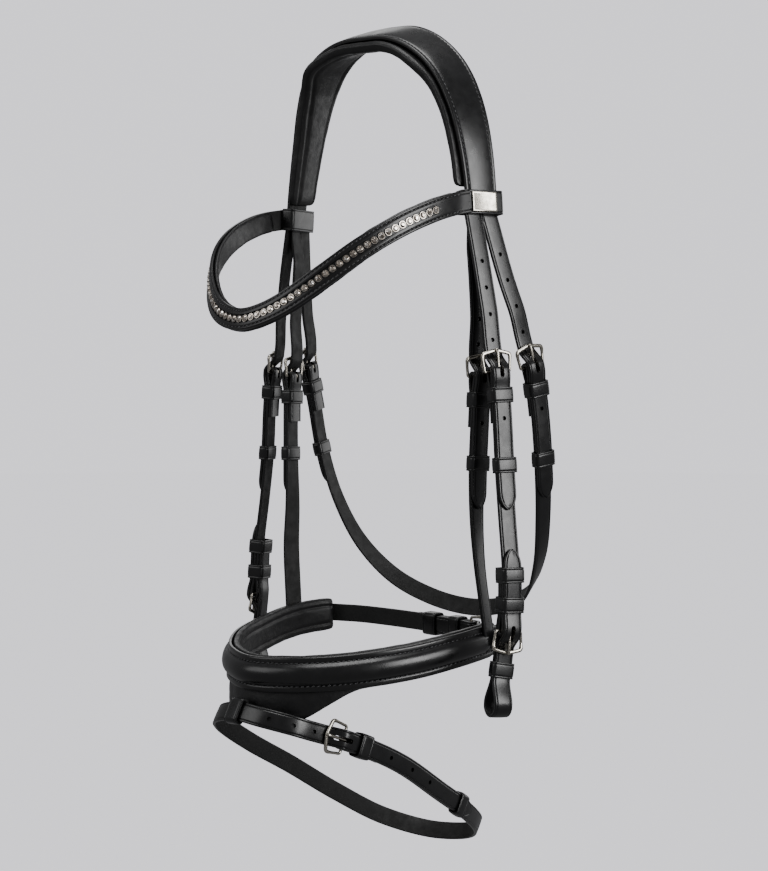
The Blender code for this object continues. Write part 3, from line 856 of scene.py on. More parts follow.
def finish(piece: bpy.types.Object, materials: list, body: Optional[str],
           replaced: tuple = ()) -> bpy.types.Object:
    """Dresses a piece and says what it rides on.

    Args:
        piece: The finished mesh.
        materials: Its materials, the main one first.
        body: The body it rides on, or None for a piece that rides on none.
        replaced: The solids it stands for.

    Returns:
        The piece.
    """
    for material in materials:
        piece.data.materials.append(material)
    if body:
        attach(piece, body)
    if replaced:
        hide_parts(*replaced)
    LOG.info("%s: %d faces, on %s", piece.name, len(piece.data.polygons), body or "two bodies")
    return piece


def in_leather(piece: bpy.types.Object, body: Optional[str],
               replaced: tuple = ()) -> bpy.types.Object:
    """Dresses a strap or loop, with its grain out and its flesh side in."""
    return finish(piece, [GRAIN, FLESH], body, replaced)


def take_apart(template: bpy.types.Object) -> tuple[np.ndarray, list]:
    """Turns a modelled template to its points and faces, and puts it away.

    Args:
        template: The mesh.

    Returns:
        Its points and faces.
    """
    points, faces = points_of(template), [tuple(face.vertices) for face in template.data.polygons]
    bpy.data.objects.remove(template)
    return points, faces


def copies(name: str, points: np.ndarray, faces: list, places: np.ndarray) -> bpy.types.Object:
    """Makes one piece from copies of a template.

    Args:
        name: The piece's name.
        points: The template's points, in millimetres.
        faces: The template's faces.
        places: For each copy four rows: its place and its three directions.

    Returns:
        The piece.
    """
    every = places[:, None, 0] + np.einsum("pk,nkc->npc", points, places[:, 1:])
    size = len(points)
    joined = [tuple(v + size * k for v in face) for k in range(len(places)) for face in faces]
    made = from_rows(name, every.reshape(-1, 3), joined)
    tidy_normals(made)
    return made


@dataclass(frozen=True)
class Profile:
    """Half a strap's section: rows in from the edge, with each one's rise over the flat."""

    insets: tuple[float, ...]
    top: tuple[float, ...]
    bottom: tuple[float, ...]

    def section(self, thick: float, half: Callable[[float], float]) -> Section:
        """The section at each length of a strap.

        Args:
            thick: The leather's thickness.
            half: Half the width at a length.

        Returns:
            A function from a length to the rows' places across, and their heights on top and below.
        """
        inset = np.array(self.insets)

        def at(x: float) -> tuple[np.ndarray, np.ndarray, np.ndarray]:
            """The rows at length x."""
            reach = np.maximum(half(x) - inset, 0.0)
            if reach[-1] > 0 and inset[-1] >= half(x) - 1.0:
                reach[-1] = 0.0
            across = np.concatenate([-reach[:-1], [0.0], reach[:-1][::-1]])
            top, low = (np.concatenate([h[:-1], [h[-1]], h[:-1][::-1]])
                        for h in (np.array(self.top), np.array(self.bottom)))
            return across, thick / 2 + top, low - thick / 2

        return at


STRAP_PROFILE = Profile((0, 0.25, 0.7, 1.15, 1.5, 1.85, 2.5, 4.3, 6.5),
                        (-0.55, -0.18, 0, -0.02, -0.34, -0.02, 0.05, 0.12, 0.15),
                        (0.45, 0.12, 0, 0, 0, 0, 0, 0, 0))
LOOP_PROFILE = Profile((0, 0.2, 0.6, 1.0, 1.35, 1.7, 2.4, 4.25),
                       (-0.35, -0.1, 0, 0, -0.25, 0, 0.06, 0.1),
                       (0.25, 0.06, 0, 0, 0, 0, 0, 0))


def plain_half(width: float) -> Callable[[float], float]:
    """Half the width, the same all along."""
    return lambda x: width / 2


def pointed_half(width: float, length: float) -> Callable[[float], float]:
    """Half the width of a strap whose end at `length` is cut to a rounded point.

    Args:
        width: The strap's width.
        length: Where its tip is.

    Returns:
        A function from a length to half the width.
    """
    def half(x: float) -> float:
        """Half the width at length x."""
        left = min(max((length - x) / TIP_LENGTH, 0.0), 1.0)
        return width / 2 * (1 - (1 - left) ** 2.2) ** 0.62
    return half


@dataclass
class Blank:
    """Leather cut flat, creased and punched, and then laid along a line."""

    name: str
    lay: Lay
    section: Section
    holes: list[Hole] = field(default_factory=list)
    side: Side = Side.NEAR
    thick: float = STRAP_THICK

    def make(self) -> bpy.types.Object:
        """Cuts the blank, punches it and lays it.

        Returns:
            The piece, with its flat plan as UVs and its rim marked.
        """
        made = self.cut()
        if self.holes:
            self.punch(made)
        self.write_plan(made)
        set_points(made, self.lay.put(points_of(made) / MM) * MM)
        mirror(made, self.side)
        tidy_normals(made)
        smooth(made)
        return made

    def cut(self) -> bpy.types.Object:
        """A grid in the strap's outline, extruded to its thickness.

        Returns:
            The flat blank.
        """
        columns = self.lay.reach
        shapes = [self.section(float(x)) for x in columns]
        across, top, low = (np.array([shape[k] for shape in shapes]) for k in range(3))
        long, wide = across.shape
        bpy.ops.object.select_all(action="DESELECT")
        bpy.ops.mesh.primitive_grid_add(x_subdivisions=long - 1, y_subdivisions=wide - 1, size=2)
        made = bpy.context.object
        made.name = made.data.name = self.name
        edit(made, lambda: bpy.ops.mesh.extrude_region_move(
            TRANSFORM_OT_translate={"value": (0, 0, -1)}))
        found = points_of(made)
        i = np.rint((found[:, 0] + 1) / 2 * (long - 1)).astype(int)
        j = np.rint((found[:, 1] + 1) / 2 * (wide - 1)).astype(int)
        height = np.where(found[:, 2] > -0.5, top[i, j], low[i, j])
        set_points(made, np.stack([columns[i], across[i, j], height], axis=1) * MM)
        if self.lay.closed:
            self.open_ends(made)
        edit(made, lambda: bpy.ops.mesh.remove_doubles(threshold=SAME_CORNER * MM),
             lambda: bpy.ops.mesh.normals_make_consistent(inside=False))
        return made

    def open_ends(self, made: bpy.types.Object) -> None:
        """Takes the end faces off, so that a loop's ends can be joined.

        Args:
            made: The flat blank.
        """
        points = points_of(made)[:, 0] / MM
        ends = (points < 1e-4) | (points > self.lay.length - 1e-4)
        for face in made.data.polygons:
            face.select = all(ends[v] for v in face.vertices)
        select_only(made)
        bpy.ops.object.mode_set(mode="EDIT")
        bpy.ops.mesh.select_mode(type="FACE")
        bpy.ops.mesh.delete(type="FACE")
        bpy.ops.mesh.select_mode(type="VERT")
        bpy.ops.object.mode_set(mode="OBJECT")

    def punch(self, made: bpy.types.Object) -> None:
        """Cuts the holes, each (length, radius, spare length) with rounded ends.

        A hole that no tongue has been through yet is left closed by a thin web at the back.

        Args:
            made: The flat blank.
        """
        cutters = []
        for x, radius, spare in self.holes:
            web = 0.0 if spare else PUNCH / 2 - self.thick / 2 + HOLE_WEB
            bpy.ops.object.select_all(action="DESELECT")
            bpy.ops.mesh.primitive_cylinder_add(vertices=20, radius=radius * MM, depth=PUNCH * MM,
                                                location=(x * MM, 0, web * MM))
            cutters.append(bpy.context.object)
            select_only(cutters[-1])
            bpy.ops.object.transform_apply(location=True, rotation=True, scale=True)
            points = points_of(cutters[-1])
            points[:, 0] += np.sign(points[:, 0] - x * MM) * spare / 2 * MM
            set_points(cutters[-1], points)
        select_only(*cutters)
        if len(cutters) > 1:
            bpy.ops.object.join()
        apply_modifier(made, "BOOLEAN", operation="DIFFERENCE", solver="EXACT", object=cutters[0])
        bpy.data.objects.remove(cutters[0])

    def write_plan(self, made: bpy.types.Object) -> None:
        """Keeps the flat plan as UVs, 10 mm to a unit, marks the rim and finds the underside.

        Args:
            made: The flat blank.
        """
        points = points_of(made) / MM
        mesh = made.data
        corners = np.empty(len(mesh.loops), int)
        mesh.loops.foreach_get("vertex_index", corners)
        plan = mesh.uv_layers[0] if mesh.uv_layers else mesh.uv_layers.new(name="Plan")
        plan.data.foreach_set("uv", (points[corners][:, :2] / 10).ravel())
        edges = np.array([self.section(float(x))[0][-1] for x in self.lay.reach])
        inside = np.interp(points[:, 0], self.lay.reach, edges) - abs(points[:, 1])
        rim = mesh.attributes.new("rim", "FLOAT", "POINT")
        rim.data.foreach_set("value", np.clip(1 - inside / RIM_WIDTH, 0, 1) * RIM_DARK)
        for face in mesh.polygons:
            face.material_index = int(face.normal.z < -0.7)


@dataclass
class Loop:
    """A leather loop round straps, its ends butted behind them."""

    name: str
    route: Route
    s: float
    low: float
    high: float
    side: Side = Side.NEAR
    tall: float = KEEPER_TALL
    width: float = STRAP_WIDTH
    wall: float = KEEPER_WALL
    corner: float = 2.0

    def line(self) -> Lay:
        """The middle of the loop's wall, from the back round and back again.

        Returns:
            The closed line, with its ways out.
        """
        place, _, across, out = self.route.at(self.s)
        half = self.width / 2 + KEEPER_PLAY + self.wall / 2
        low, high = self.low - KEEPER_PLAY - self.wall / 2, self.high + KEEPER_PLAY + self.wall / 2
        r = self.corner
        points, outs = [(0.0, low)], [(0.0, -1.0)]
        for cx, cy, first in ((half - r, low + r, -90), (half - r, high - r, 0),
                              (r - half, high - r, 90), (r - half, low + r, 180)):
            for k in range(6):
                a = math.radians(first + 18 * k)
                points.append((cx + r * math.cos(a), cy + r * math.sin(a)))
                outs.append((math.cos(a), math.sin(a)))
        return Lay([place + across * a + out * b for a, b in points],
                   [across * a + out * b for a, b in outs], closed=True)

    def make(self) -> bpy.types.Object:
        """Cuts the strip and closes it round the straps.

        Returns:
            The piece.
        """
        insets = LOOP_PROFILE.insets[:-1] + (self.tall / 2,)
        profile = Profile(insets, LOOP_PROFILE.top, LOOP_PROFILE.bottom)
        section = profile.section(self.wall, plain_half(self.tall))
        return Blank(self.name, self.line(), section, side=self.side, thick=self.wall).make()


def tube(name: str, points: list[Vector], ways: list[Vector], radii: list[tuple[float, float]],
         closed: bool, around: int = 14) -> bpy.types.Object:
    """A wire with a rounded section that may be flatter one way.

    Args:
        name: The piece's name.
        points: Its middle line.
        ways: The way out of the buckle's face at each point.
        radii: Half its size in the face's plane and out of it, at each point.
        closed: Whether it comes back to its start.
        around: Points round the section.

    Returns:
        The piece.
    """
    lay = Lay(points, ways, closed=closed)
    count = len(points)
    angles = np.arange(around) * math.tau / around
    ring = np.stack([np.cos(angles), np.sin(angles)], axis=1)
    ring = np.sign(ring) * abs(ring) ** 0.82
    places = [lay.place[i] + lay.across[i] * (ring[:, :1] * wide)
              + lay.out[i] * (ring[:, 1:] * deep) for i, (wide, deep) in enumerate(radii)]
    faces = []
    for i in range(count if closed else count - 1):
        a, b = i * around, ((i + 1) % count) * around
        faces += [(a + k, a + (k + 1) % around, b + (k + 1) % around, b + k) for k in range(around)]
    if not closed:
        faces += [tuple(range(around)), tuple(range((count - 1) * around, count * around))]
    made = from_rows(name, np.vstack(places), faces)
    tidy_normals(made)
    smooth(made, 50)
    return made


def ribbon(points: list[tuple[float, float]], step: float = 0.6) -> list[tuple[float, float]]:
    """A smooth open line through points in a plane, with points about `step` apart.

    Args:
        points: The points.
        step: How far apart the new ones are.

    Returns:
        The new points.
    """
    route = Route([(a, b, 0) for a, b in points], None)
    count = max(2, round(route.length / step))
    return [tuple(route.spot(route.length * k / count))[:2] for k in range(count + 1)]


@dataclass
class Buckle:
    """A cast buckle: a frame with slanted sides and a peaked front bar, and a tongue on its bar."""

    tag: str
    bench: Bench
    side: Side

    def build(self, body: str) -> None:
        """Makes and dresses the frame and the tongue, which turns on the bar.

        Args:
            body: What the frame rides on.
        """
        frame_piece = self.frame_piece()
        finish(frame_piece, [STEEL], body, (f"{self.tag}_buckle",))
        tongue = self.tongue_piece()
        finish(tongue, [STEEL], f"{self.tag}_tongue", (f"{self.tag}_tongue",))

    def frame_piece(self) -> bpy.types.Object:
        """The frame, thickest at its front corners.

        Returns:
            The piece.
        """
        front = BUCKLE_LENGTH
        half = [(0, 0), (0, BAR_HALF - 3), (0.1, BAR_HALF - 0.8), (0.9, BAR_HALF),
                (2.5, BAR_HALF + 0.15),
                (front - 4.5, EDGE_HALF + 0.1), (front - 2.0, EDGE_HALF + 0.1),
                (front - 0.9, EDGE_HALF - 0.6),
                (front - 0.35, EDGE_HALF - 2.2), (front + 0.5, 4.5), (front + 1.15, 1.2)]
        loop = half + [(u, -v) for u, v in half[:0:-1]]
        dense = ribbon(loop + [loop[0]])[:-1]
        points, radii = [], []
        for u, v in dense:
            at_front = eased((u - 6) / 6)
            rise = 0.35 * at_front
            points.append(self.bench.point(u, v, rise))
            radii.append((mix(1.0, 1.3, at_front), mix(0.95, 1.1, at_front)))
        made = tube(f"{self.tag}_frame", points, [self.bench.n] * len(points), radii, True, 16)
        mirror(made, self.side)
        tidy_normals(made)
        return made

    def tongue_piece(self) -> bpy.types.Object:
        """The tongue: an eye round the bar, a straight shank and a tip over the front bar.

        Returns:
            The piece.
        """
        eye = BAR + TONGUE + 0.45
        shape = [(eye * math.cos(math.radians(a)), eye * math.sin(math.radians(a)))
                 for a in (-60, -90, -120, -150, -180, -210, -240, -262)]
        over = 0.35 + 1.1 + TONGUE + 0.15
        shape += [(3, eye + 0.1), (7, eye + 0.25), (BUCKLE_LENGTH - 1, over + 0.25),
                  (BUCKLE_LENGTH + 1, over),
                  (TONGUE_REACH, over - 0.9)]
        dense = ribbon(shape, 0.5)
        points = [self.bench.point(u, 0, n) for u, n in dense]
        radii = []
        for k in range(len(dense)):
            left = len(dense) - 1 - k
            taper = math.sqrt(1 - (1 - min(left / 2.5, 1.0)) ** 2) if left < 2.5 else 1.0
            share = k / (len(dense) - 1)
            radii.append((max(taper, 0.1) * mix(0.8, 0.92, share),
                          max(taper, 0.1) * mix(1.25, 0.95, share)))
        made = tube(f"{self.tag}_pin", points, [self.bench.v] * len(points), radii, False, 14)
        mirror(made, self.side)
        tidy_normals(made)
        return made


@dataclass
class Sewing:
    """Rows of saddle stitches in one piece of thread."""

    name: str
    side: Side = Side.NEAR
    size: tuple[float, float, float] = (2.5, 0.62, 0.5)
    places: list[np.ndarray] = field(default_factory=list)

    def template(self) -> tuple[np.ndarray, list]:
        """One stitch, modelled once: a bead drawn out to its length.

        Returns:
            The stitch's points and faces.
        """
        bpy.ops.object.select_all(action="DESELECT")
        bpy.ops.mesh.primitive_uv_sphere_add(segments=6, ring_count=5, radius=0.5)
        points, faces = take_apart(bpy.context.object)
        return points[:, [2, 0, 1]] * np.array(self.size), faces

    def row(self, lay: Lay, across: float | Callable[[float], float], height: float, start: float,
            end: float, pitch: float = 3.5, slant: float = 10.0) -> None:
        """Adds a row of stitches.

        Args:
            lay: The line the leather is laid on.
            across: Where the row runs across it.
            height: How high the thread's middle lies over it; below 0 is the back.
            start: The row's first length.
            end: Its last length.
            pitch: From one stitch to the next.
            slant: Each stitch's lean, in degrees.
        """
        count = max(1, int(abs(end - start) // pitch))
        spots = start + (np.arange(count) + 0.5) * (end - start) / count
        lean = math.tan(math.radians(slant)) * 0.5
        for x in spots:
            y = across(x) if callable(across) else across
            ends = np.array([[x - 0.5, y - lean, height], [x + 0.5, y + lean, height]])
            middle = lay.put(np.array([[x, y, height]]))[0]
            a, b = lay.put(ends)
            out = lay.frames(np.array([x]))[2][0]
            along = unit(b - a)
            self.places.append(np.stack([middle, along, unit(np.cross(out, along)), out]))

    def make(self, body: str) -> bpy.types.Object:
        """Joins all the stitches to one piece on a body.

        Args:
            body: What it rides on.

        Returns:
            The piece.
        """
        made = copies(self.name, *self.template(), np.array(self.places))
        mirror(made, self.side)
        tidy_normals(made)
        smooth(made, 60)
        return finish(made, [THREAD], body)


def strap_blank(name: str, line: Line, side: Side = Side.NEAR, pointed: bool = False,
                holes: Optional[list[Hole]] = None) -> Blank:
    """A plain strap's blank along a line.

    Args:
        name: The piece's name.
        line: Where it lies.
        side: The side it is for.
        pointed: Whether its end is cut to a tip.

    Returns:
        The blank.
    """
    lay = line.lay()
    half = pointed_half(STRAP_WIDTH, lay.length) if pointed else plain_half(STRAP_WIDTH)
    return Blank(name, lay, STRAP_PROFILE.section(STRAP_THICK, half), holes or [], side)


def fold_sewing(name: str, lay: Lay, body: str, side: Side, at_start: bool, at_end: bool) -> None:
    """Sews the turned-back ends of a buckle strap down along both edges.

    Args:
        name: The piece's name.
        lay: The strap's line.
        body: What it rides on.
        side: The side it is for.
        at_start: Whether the first end is sewn.
        at_end: Whether the last end is sewn.
    """
    sewing = Sewing(name, side)
    for y in (-4.6, 4.6):
        if at_start:
            sewing.row(lay, y, HALF_THICK + 0.05, 3, FOLD_BACK - 10)
        if at_end:
            sewing.row(lay, y, HALF_THICK + 0.05, lay.length - FOLD_BACK + 10, lay.length - 3)
    sewing.make(body)


def fold_slot(line: Line, lay: Lay, first: bool) -> Hole:
    """The slot that lets a tongue round its bar, at the nose of a line's first or last turn."""
    turn = [k for k, mark in enumerate(line.marks) if mark is None]
    return float(lay.reach[turn[0] + NOSE if first else turn[-1] - NOSE]), *FOLD_SLOT


@dataclass
class FoldedStrap:
    """A strap turned back round a buckle's bar at one end or both, and sewn down behind it."""

    name: str
    sewing: str
    route: Route
    start: float
    end: float
    folds: tuple[bool, bool]
    body: str
    side: Side = Side.NEAR

    def height(self, s: float) -> float:
        """How high the strap runs over its route, lifted by its turns.

        Args:
            s: The route's length.

        Returns:
            The height.
        """
        ahead = s - self.start if self.folds[0] else math.inf
        behind = self.end - s if self.folds[1] else math.inf
        return mix(FOLD_RADIUS, REST, (min(ahead, behind) - 2) / 10)

    def build(self) -> None:
        """Cuts the strap, folds it and sews it down."""
        line = Line(self.route)
        start, end = self.start, self.end
        if self.folds[0]:
            line.fold_start(start)
            line.run(start + 1.5, start + 14, self.height, BEND_STEP)
            start += 16
        if self.folds[1]:
            line.run(start, end - 16, self.height)
            line.run(end - 14, end - 1.5, self.height, BEND_STEP)
            line.fold_end(end)
        else:
            line.run(start, end, self.height)
        blank = strap_blank(f"{self.name}_leather", line, self.side)
        blank.holes = [fold_slot(line, blank.lay, first)
                       for first, fold in zip((True, False), self.folds) if fold]
        in_leather(blank.make(), self.body, (self.name,))
        fold_sewing(self.sewing, blank.lay, self.body, self.side, *self.folds)


# ---------------------------------------------------------------- padding


@dataclass
class Pad:
    """A stuffed lining: a closed crowned form along a line, blown up by a short cloth run."""

    name: str
    lay: Lay
    ring: Callable[[float, np.ndarray], tuple[np.ndarray, np.ndarray]]
    pressure: float = 3.0
    most: float = 0.9
    around: int = 40

    def make(self) -> bpy.types.Object:
        """Lofts the form, inflates it, and creases its skin.

        Returns:
            The piece, smooth and closed.
        """
        x = self.lay.reach
        angles = np.arange(self.around) * math.tau / self.around
        flats = []
        for reach in x:
            across, out = self.ring(float(reach), angles)
            flats.append(np.stack([np.full(self.around, reach), across, out], axis=1))
        points = self.lay.put(np.vstack(flats))
        faces = []
        for i in range(len(x) - 1):
            a, b = i * self.around, (i + 1) * self.around
            faces += [(a + k, a + (k + 1) % self.around, b + (k + 1) % self.around, b + k)
                      for k in range(self.around)]
        last = (len(x) - 1) * self.around
        faces += [tuple(range(self.around)), tuple(range(last, last + self.around))]
        made = from_rows(self.name, points, faces)
        tidy_normals(made)
        self.inflate(made)
        apply_modifier(made, "SUBSURF", levels=1, render_levels=1)
        self.crease(made)
        smooth(made, 70)
        return made

    def inflate(self, made: bpy.types.Object) -> None:
        """Lets the skin swell under pressure, with its movement capped.

        Args:
            made: The closed form.
        """
        before = points_of(made)
        cloth = made.modifiers.new("Cloth", "CLOTH")
        settings = cloth.settings
        settings.use_pressure = True
        settings.uniform_pressure_force = self.pressure
        settings.effector_weights.gravity = 0
        settings.tension_stiffness = settings.compression_stiffness = 25
        settings.bending_stiffness = 1.5
        cloth.collision_settings.use_collision = False
        scene = bpy.context.scene
        for step in range(1, CLOTH_FRAMES + 1):
            scene.frame_set(step)
        graph = bpy.context.evaluated_depsgraph_get()
        moved = made.evaluated_get(graph)
        after = np.empty(len(before) * 3)
        moved.data.vertices.foreach_get("co", after)
        made.modifiers.remove(cloth)
        scene.frame_set(1)
        change = after.reshape(-1, 3) - before
        size = np.linalg.norm(change, axis=1, keepdims=True)
        limit = self.most * MM
        kept = change / np.maximum(size, 1e-12) * limit * np.tanh(size / limit)
        set_points(made, before + kept)

    def crease(self, made: bpy.types.Object) -> None:
        """Moves the skin in and out a little, as soft leather lies over foam.

        Args:
            made: The pad.
        """
        points = points_of(made)
        normals = np.empty(len(points) * 3)
        made.data.vertices.foreach_get("normal", normals)
        normals = normals.reshape(-1, 3)
        lift = [sum(deep * noise.noise(Vector(p) * often) for deep, often in CREASES)
                for p in points.tolist()]
        set_points(made, points + normals * (np.array(lift)[:, None] * MM))


def rounded(angles: np.ndarray, power: float) -> tuple[np.ndarray, np.ndarray]:
    """A squared circle's points, 1 across and 1 out."""
    c, s = np.cos(angles), np.sin(angles)
    return np.sign(c) * abs(c) ** power, np.sign(s) * abs(s) ** power


def seam_dip(c: np.ndarray, n: np.ndarray, place: float, depth: float) -> np.ndarray:
    """How far two seams draw a lining's soft side in.

    Args:
        c: Each point's place across, from -1 to 1.
        n: Each point's place out, which is below 0 on the soft side.
        place: The seams' place across.
        depth: How deep they are, in millimetres.

    Returns:
        The movement out, towards the leather.
    """
    return np.where(n < -0.3, depth * np.exp(-((abs(c) - place) / 0.07) ** 2), 0.0)


def end_share(x: float, length: float, run: float) -> float:
    """How full a pad is at length x: 1 in the middle, rounding off over `run` at both ends."""
    left = min(x, length - x) / run
    return math.sqrt(max(1 - (1 - min(left, 1.0)) ** 2, 0.02))


# ---------------------------------------------------------------- sub-assemblies


def poll_share(s: float, route: Route, middle: float) -> float:
    """How far length s is from the poll, at 0, to the headpiece's end on its side, at 1."""
    return abs(s - middle) / (route.length - middle if s > middle else middle)


def crown_route() -> tuple[Route, float]:
    """The headpiece's seam from the off side over the poll to the near side, and its middle.

    Returns:
        The route and its middle's length.
    """
    route = Route([flipped(p) for p in CROWN_OFF_PATH[:0:-1]] + CROWN_PATH, None)
    middle = route.find(0, 0)
    over = Vector((0, math.cos(math.radians(20)), math.sin(math.radians(20))))

    def across(share: float) -> Vector:
        """Across the strap: leaning back at the poll, and turning to the side on the way down."""
        side = 1 if share * route.length > middle else -1
        reach = poll_share(share * route.length, route, middle)
        way = over.lerp(turned(SIDE_TURN), eased(reach * 1.25))
        return Vector((way.x * side, way.y, way.z)).normalized()

    route.across = across
    return route, middle


def line_over(route: Route, start: float, end: float, height: float | Callable[[float], float],
              step: float = STEP) -> Lay:
    """A line at a height over a route, from one length to another.

    Args:
        route: What it follows.
        start: The first length.
        end: The last length.
        height: A height, or the height at a length.
        step: About how far apart the points are.

    Returns:
        The line, measured.
    """
    line = Line(route)
    line.run(start, end, height if callable(height) else (lambda s: height), step)
    return line.lay()


@dataclass
class Headpiece:
    """The crown: outer leather sewn down on a soft padded lining."""

    width: float = 37.0
    neck: float = 24.0
    thick: float = 3.0
    pad_width: float = 48.0
    pad_neck: float = 28.5
    pad_thick: tuple[float, float] = (9.0, 6.5)
    seam_inset: float = 3.0
    sewn_from: float = 14.0
    end_gap: float = 6.0
    pad_end_z: float = -104.0

    def build(self) -> None:
        """Makes the leather, its stitching and the padding."""
        route, middle = crown_route()
        lay = line_over(route, self.end_gap, route.length - self.end_gap, self.thick / 2 + SEAM)
        shares = [poll_share(s, route, middle) for s in lay.marks]

        def half(x: float) -> float:
            """Half the leather's width at length x."""
            return mix(self.width, self.neck, float(np.interp(x, lay.reach, shares))) / 2

        profile = Profile((0, 0.3, 0.8, 1.5, 2.2, 3.0, 3.6, 4.4, 6.5, 9.5, 12.0),
                          (-0.7, -0.2, 0, 0, -0.05, -0.4, -0.05, 0.1, 0.35, 0.5, 0.55),
                          (0.5, 0.12, 0, 0, 0, 0, 0, 0, 0, 0, 0))
        leather = Blank("crown_leather", lay, profile.section(self.thick, half),
                        thick=self.thick).make()
        in_leather(leather, "headpiece", ("headpiece_crown",))

        sewing = Sewing("crown_stitching")
        for sign in (-1, 1):
            sewing.row(lay, lambda x: sign * (half(x) - self.seam_inset), self.thick / 2 - 0.2,
                       self.sewn_from, lay.length - self.sewn_from)
        sewing.make("headpiece")
        self.build_padding(route, middle)

    def ear_flare(self, off: bool, share: float) -> float:
        """How far the front edge stands forward above the ear, before it is cut back for it."""
        most, spread = (5.5 if off else 2.0), (0.13 if share < 0.33 else 0.08)
        return most * math.exp(-((share - 0.33) / spread) ** 2)

    def build_padding(self, route: Route, middle: float) -> None:
        """Makes the lining, which stands proud of the leather's edges as a soft rim.

        Args:
            route: The headpiece's route.
            middle: Its length at the poll.
        """
        start = middle - Route(CROWN_OFF_PATH, None).find(self.pad_end_z, 2)
        end = middle + Route(CROWN_PATH, None).find(self.pad_end_z, 2)
        pad_lay = line_over(route, start, end, 0.0, 2.6)

        def ring(x: float, angles: np.ndarray) -> tuple[np.ndarray, np.ndarray]:
            """The pad's outline at length x: its points across and out."""
            s = float(np.interp(x, pad_lay.reach, pad_lay.marks))
            share = poll_share(s, route, middle)
            full = end_share(x, pad_lay.length, 7)
            leather = mix(self.width, self.neck, share) / 2
            half = mix(self.pad_width, self.pad_neck, share) / 2 * (0.88 + 0.12 * full)
            thick, thin = self.pad_thick
            depth = (thick + (thin - thick) * share) * (0.5 + 0.5 * full)
            c, n = rounded(angles, 0.72)
            across = c * half
            # The front edge stands forward at the poll and is cut back round each ear.
            forward = 1 + 0.2 * eased(share * 2 - 1)
            across = np.where(c < 0, across * forward - self.ear_flare(s < middle, share), across)
            rim = np.clip((abs(c) * half - leather + 1.0) / 3, 0, 1)
            top = -SEAM + rim * 1.5 * full
            out = np.where(n > 0, top - (1 - n) * depth * 0.5,
                           -SEAM - depth * 0.5 + n * depth * 0.5)
            return across, out + seam_dip(c, n, 0.66, 1.5) * full

        padding = Pad("crown_padding", pad_lay, ring, around=64).make()
        finish(padding, [NAPPA], "headpiece", ("headpiece_padding",))


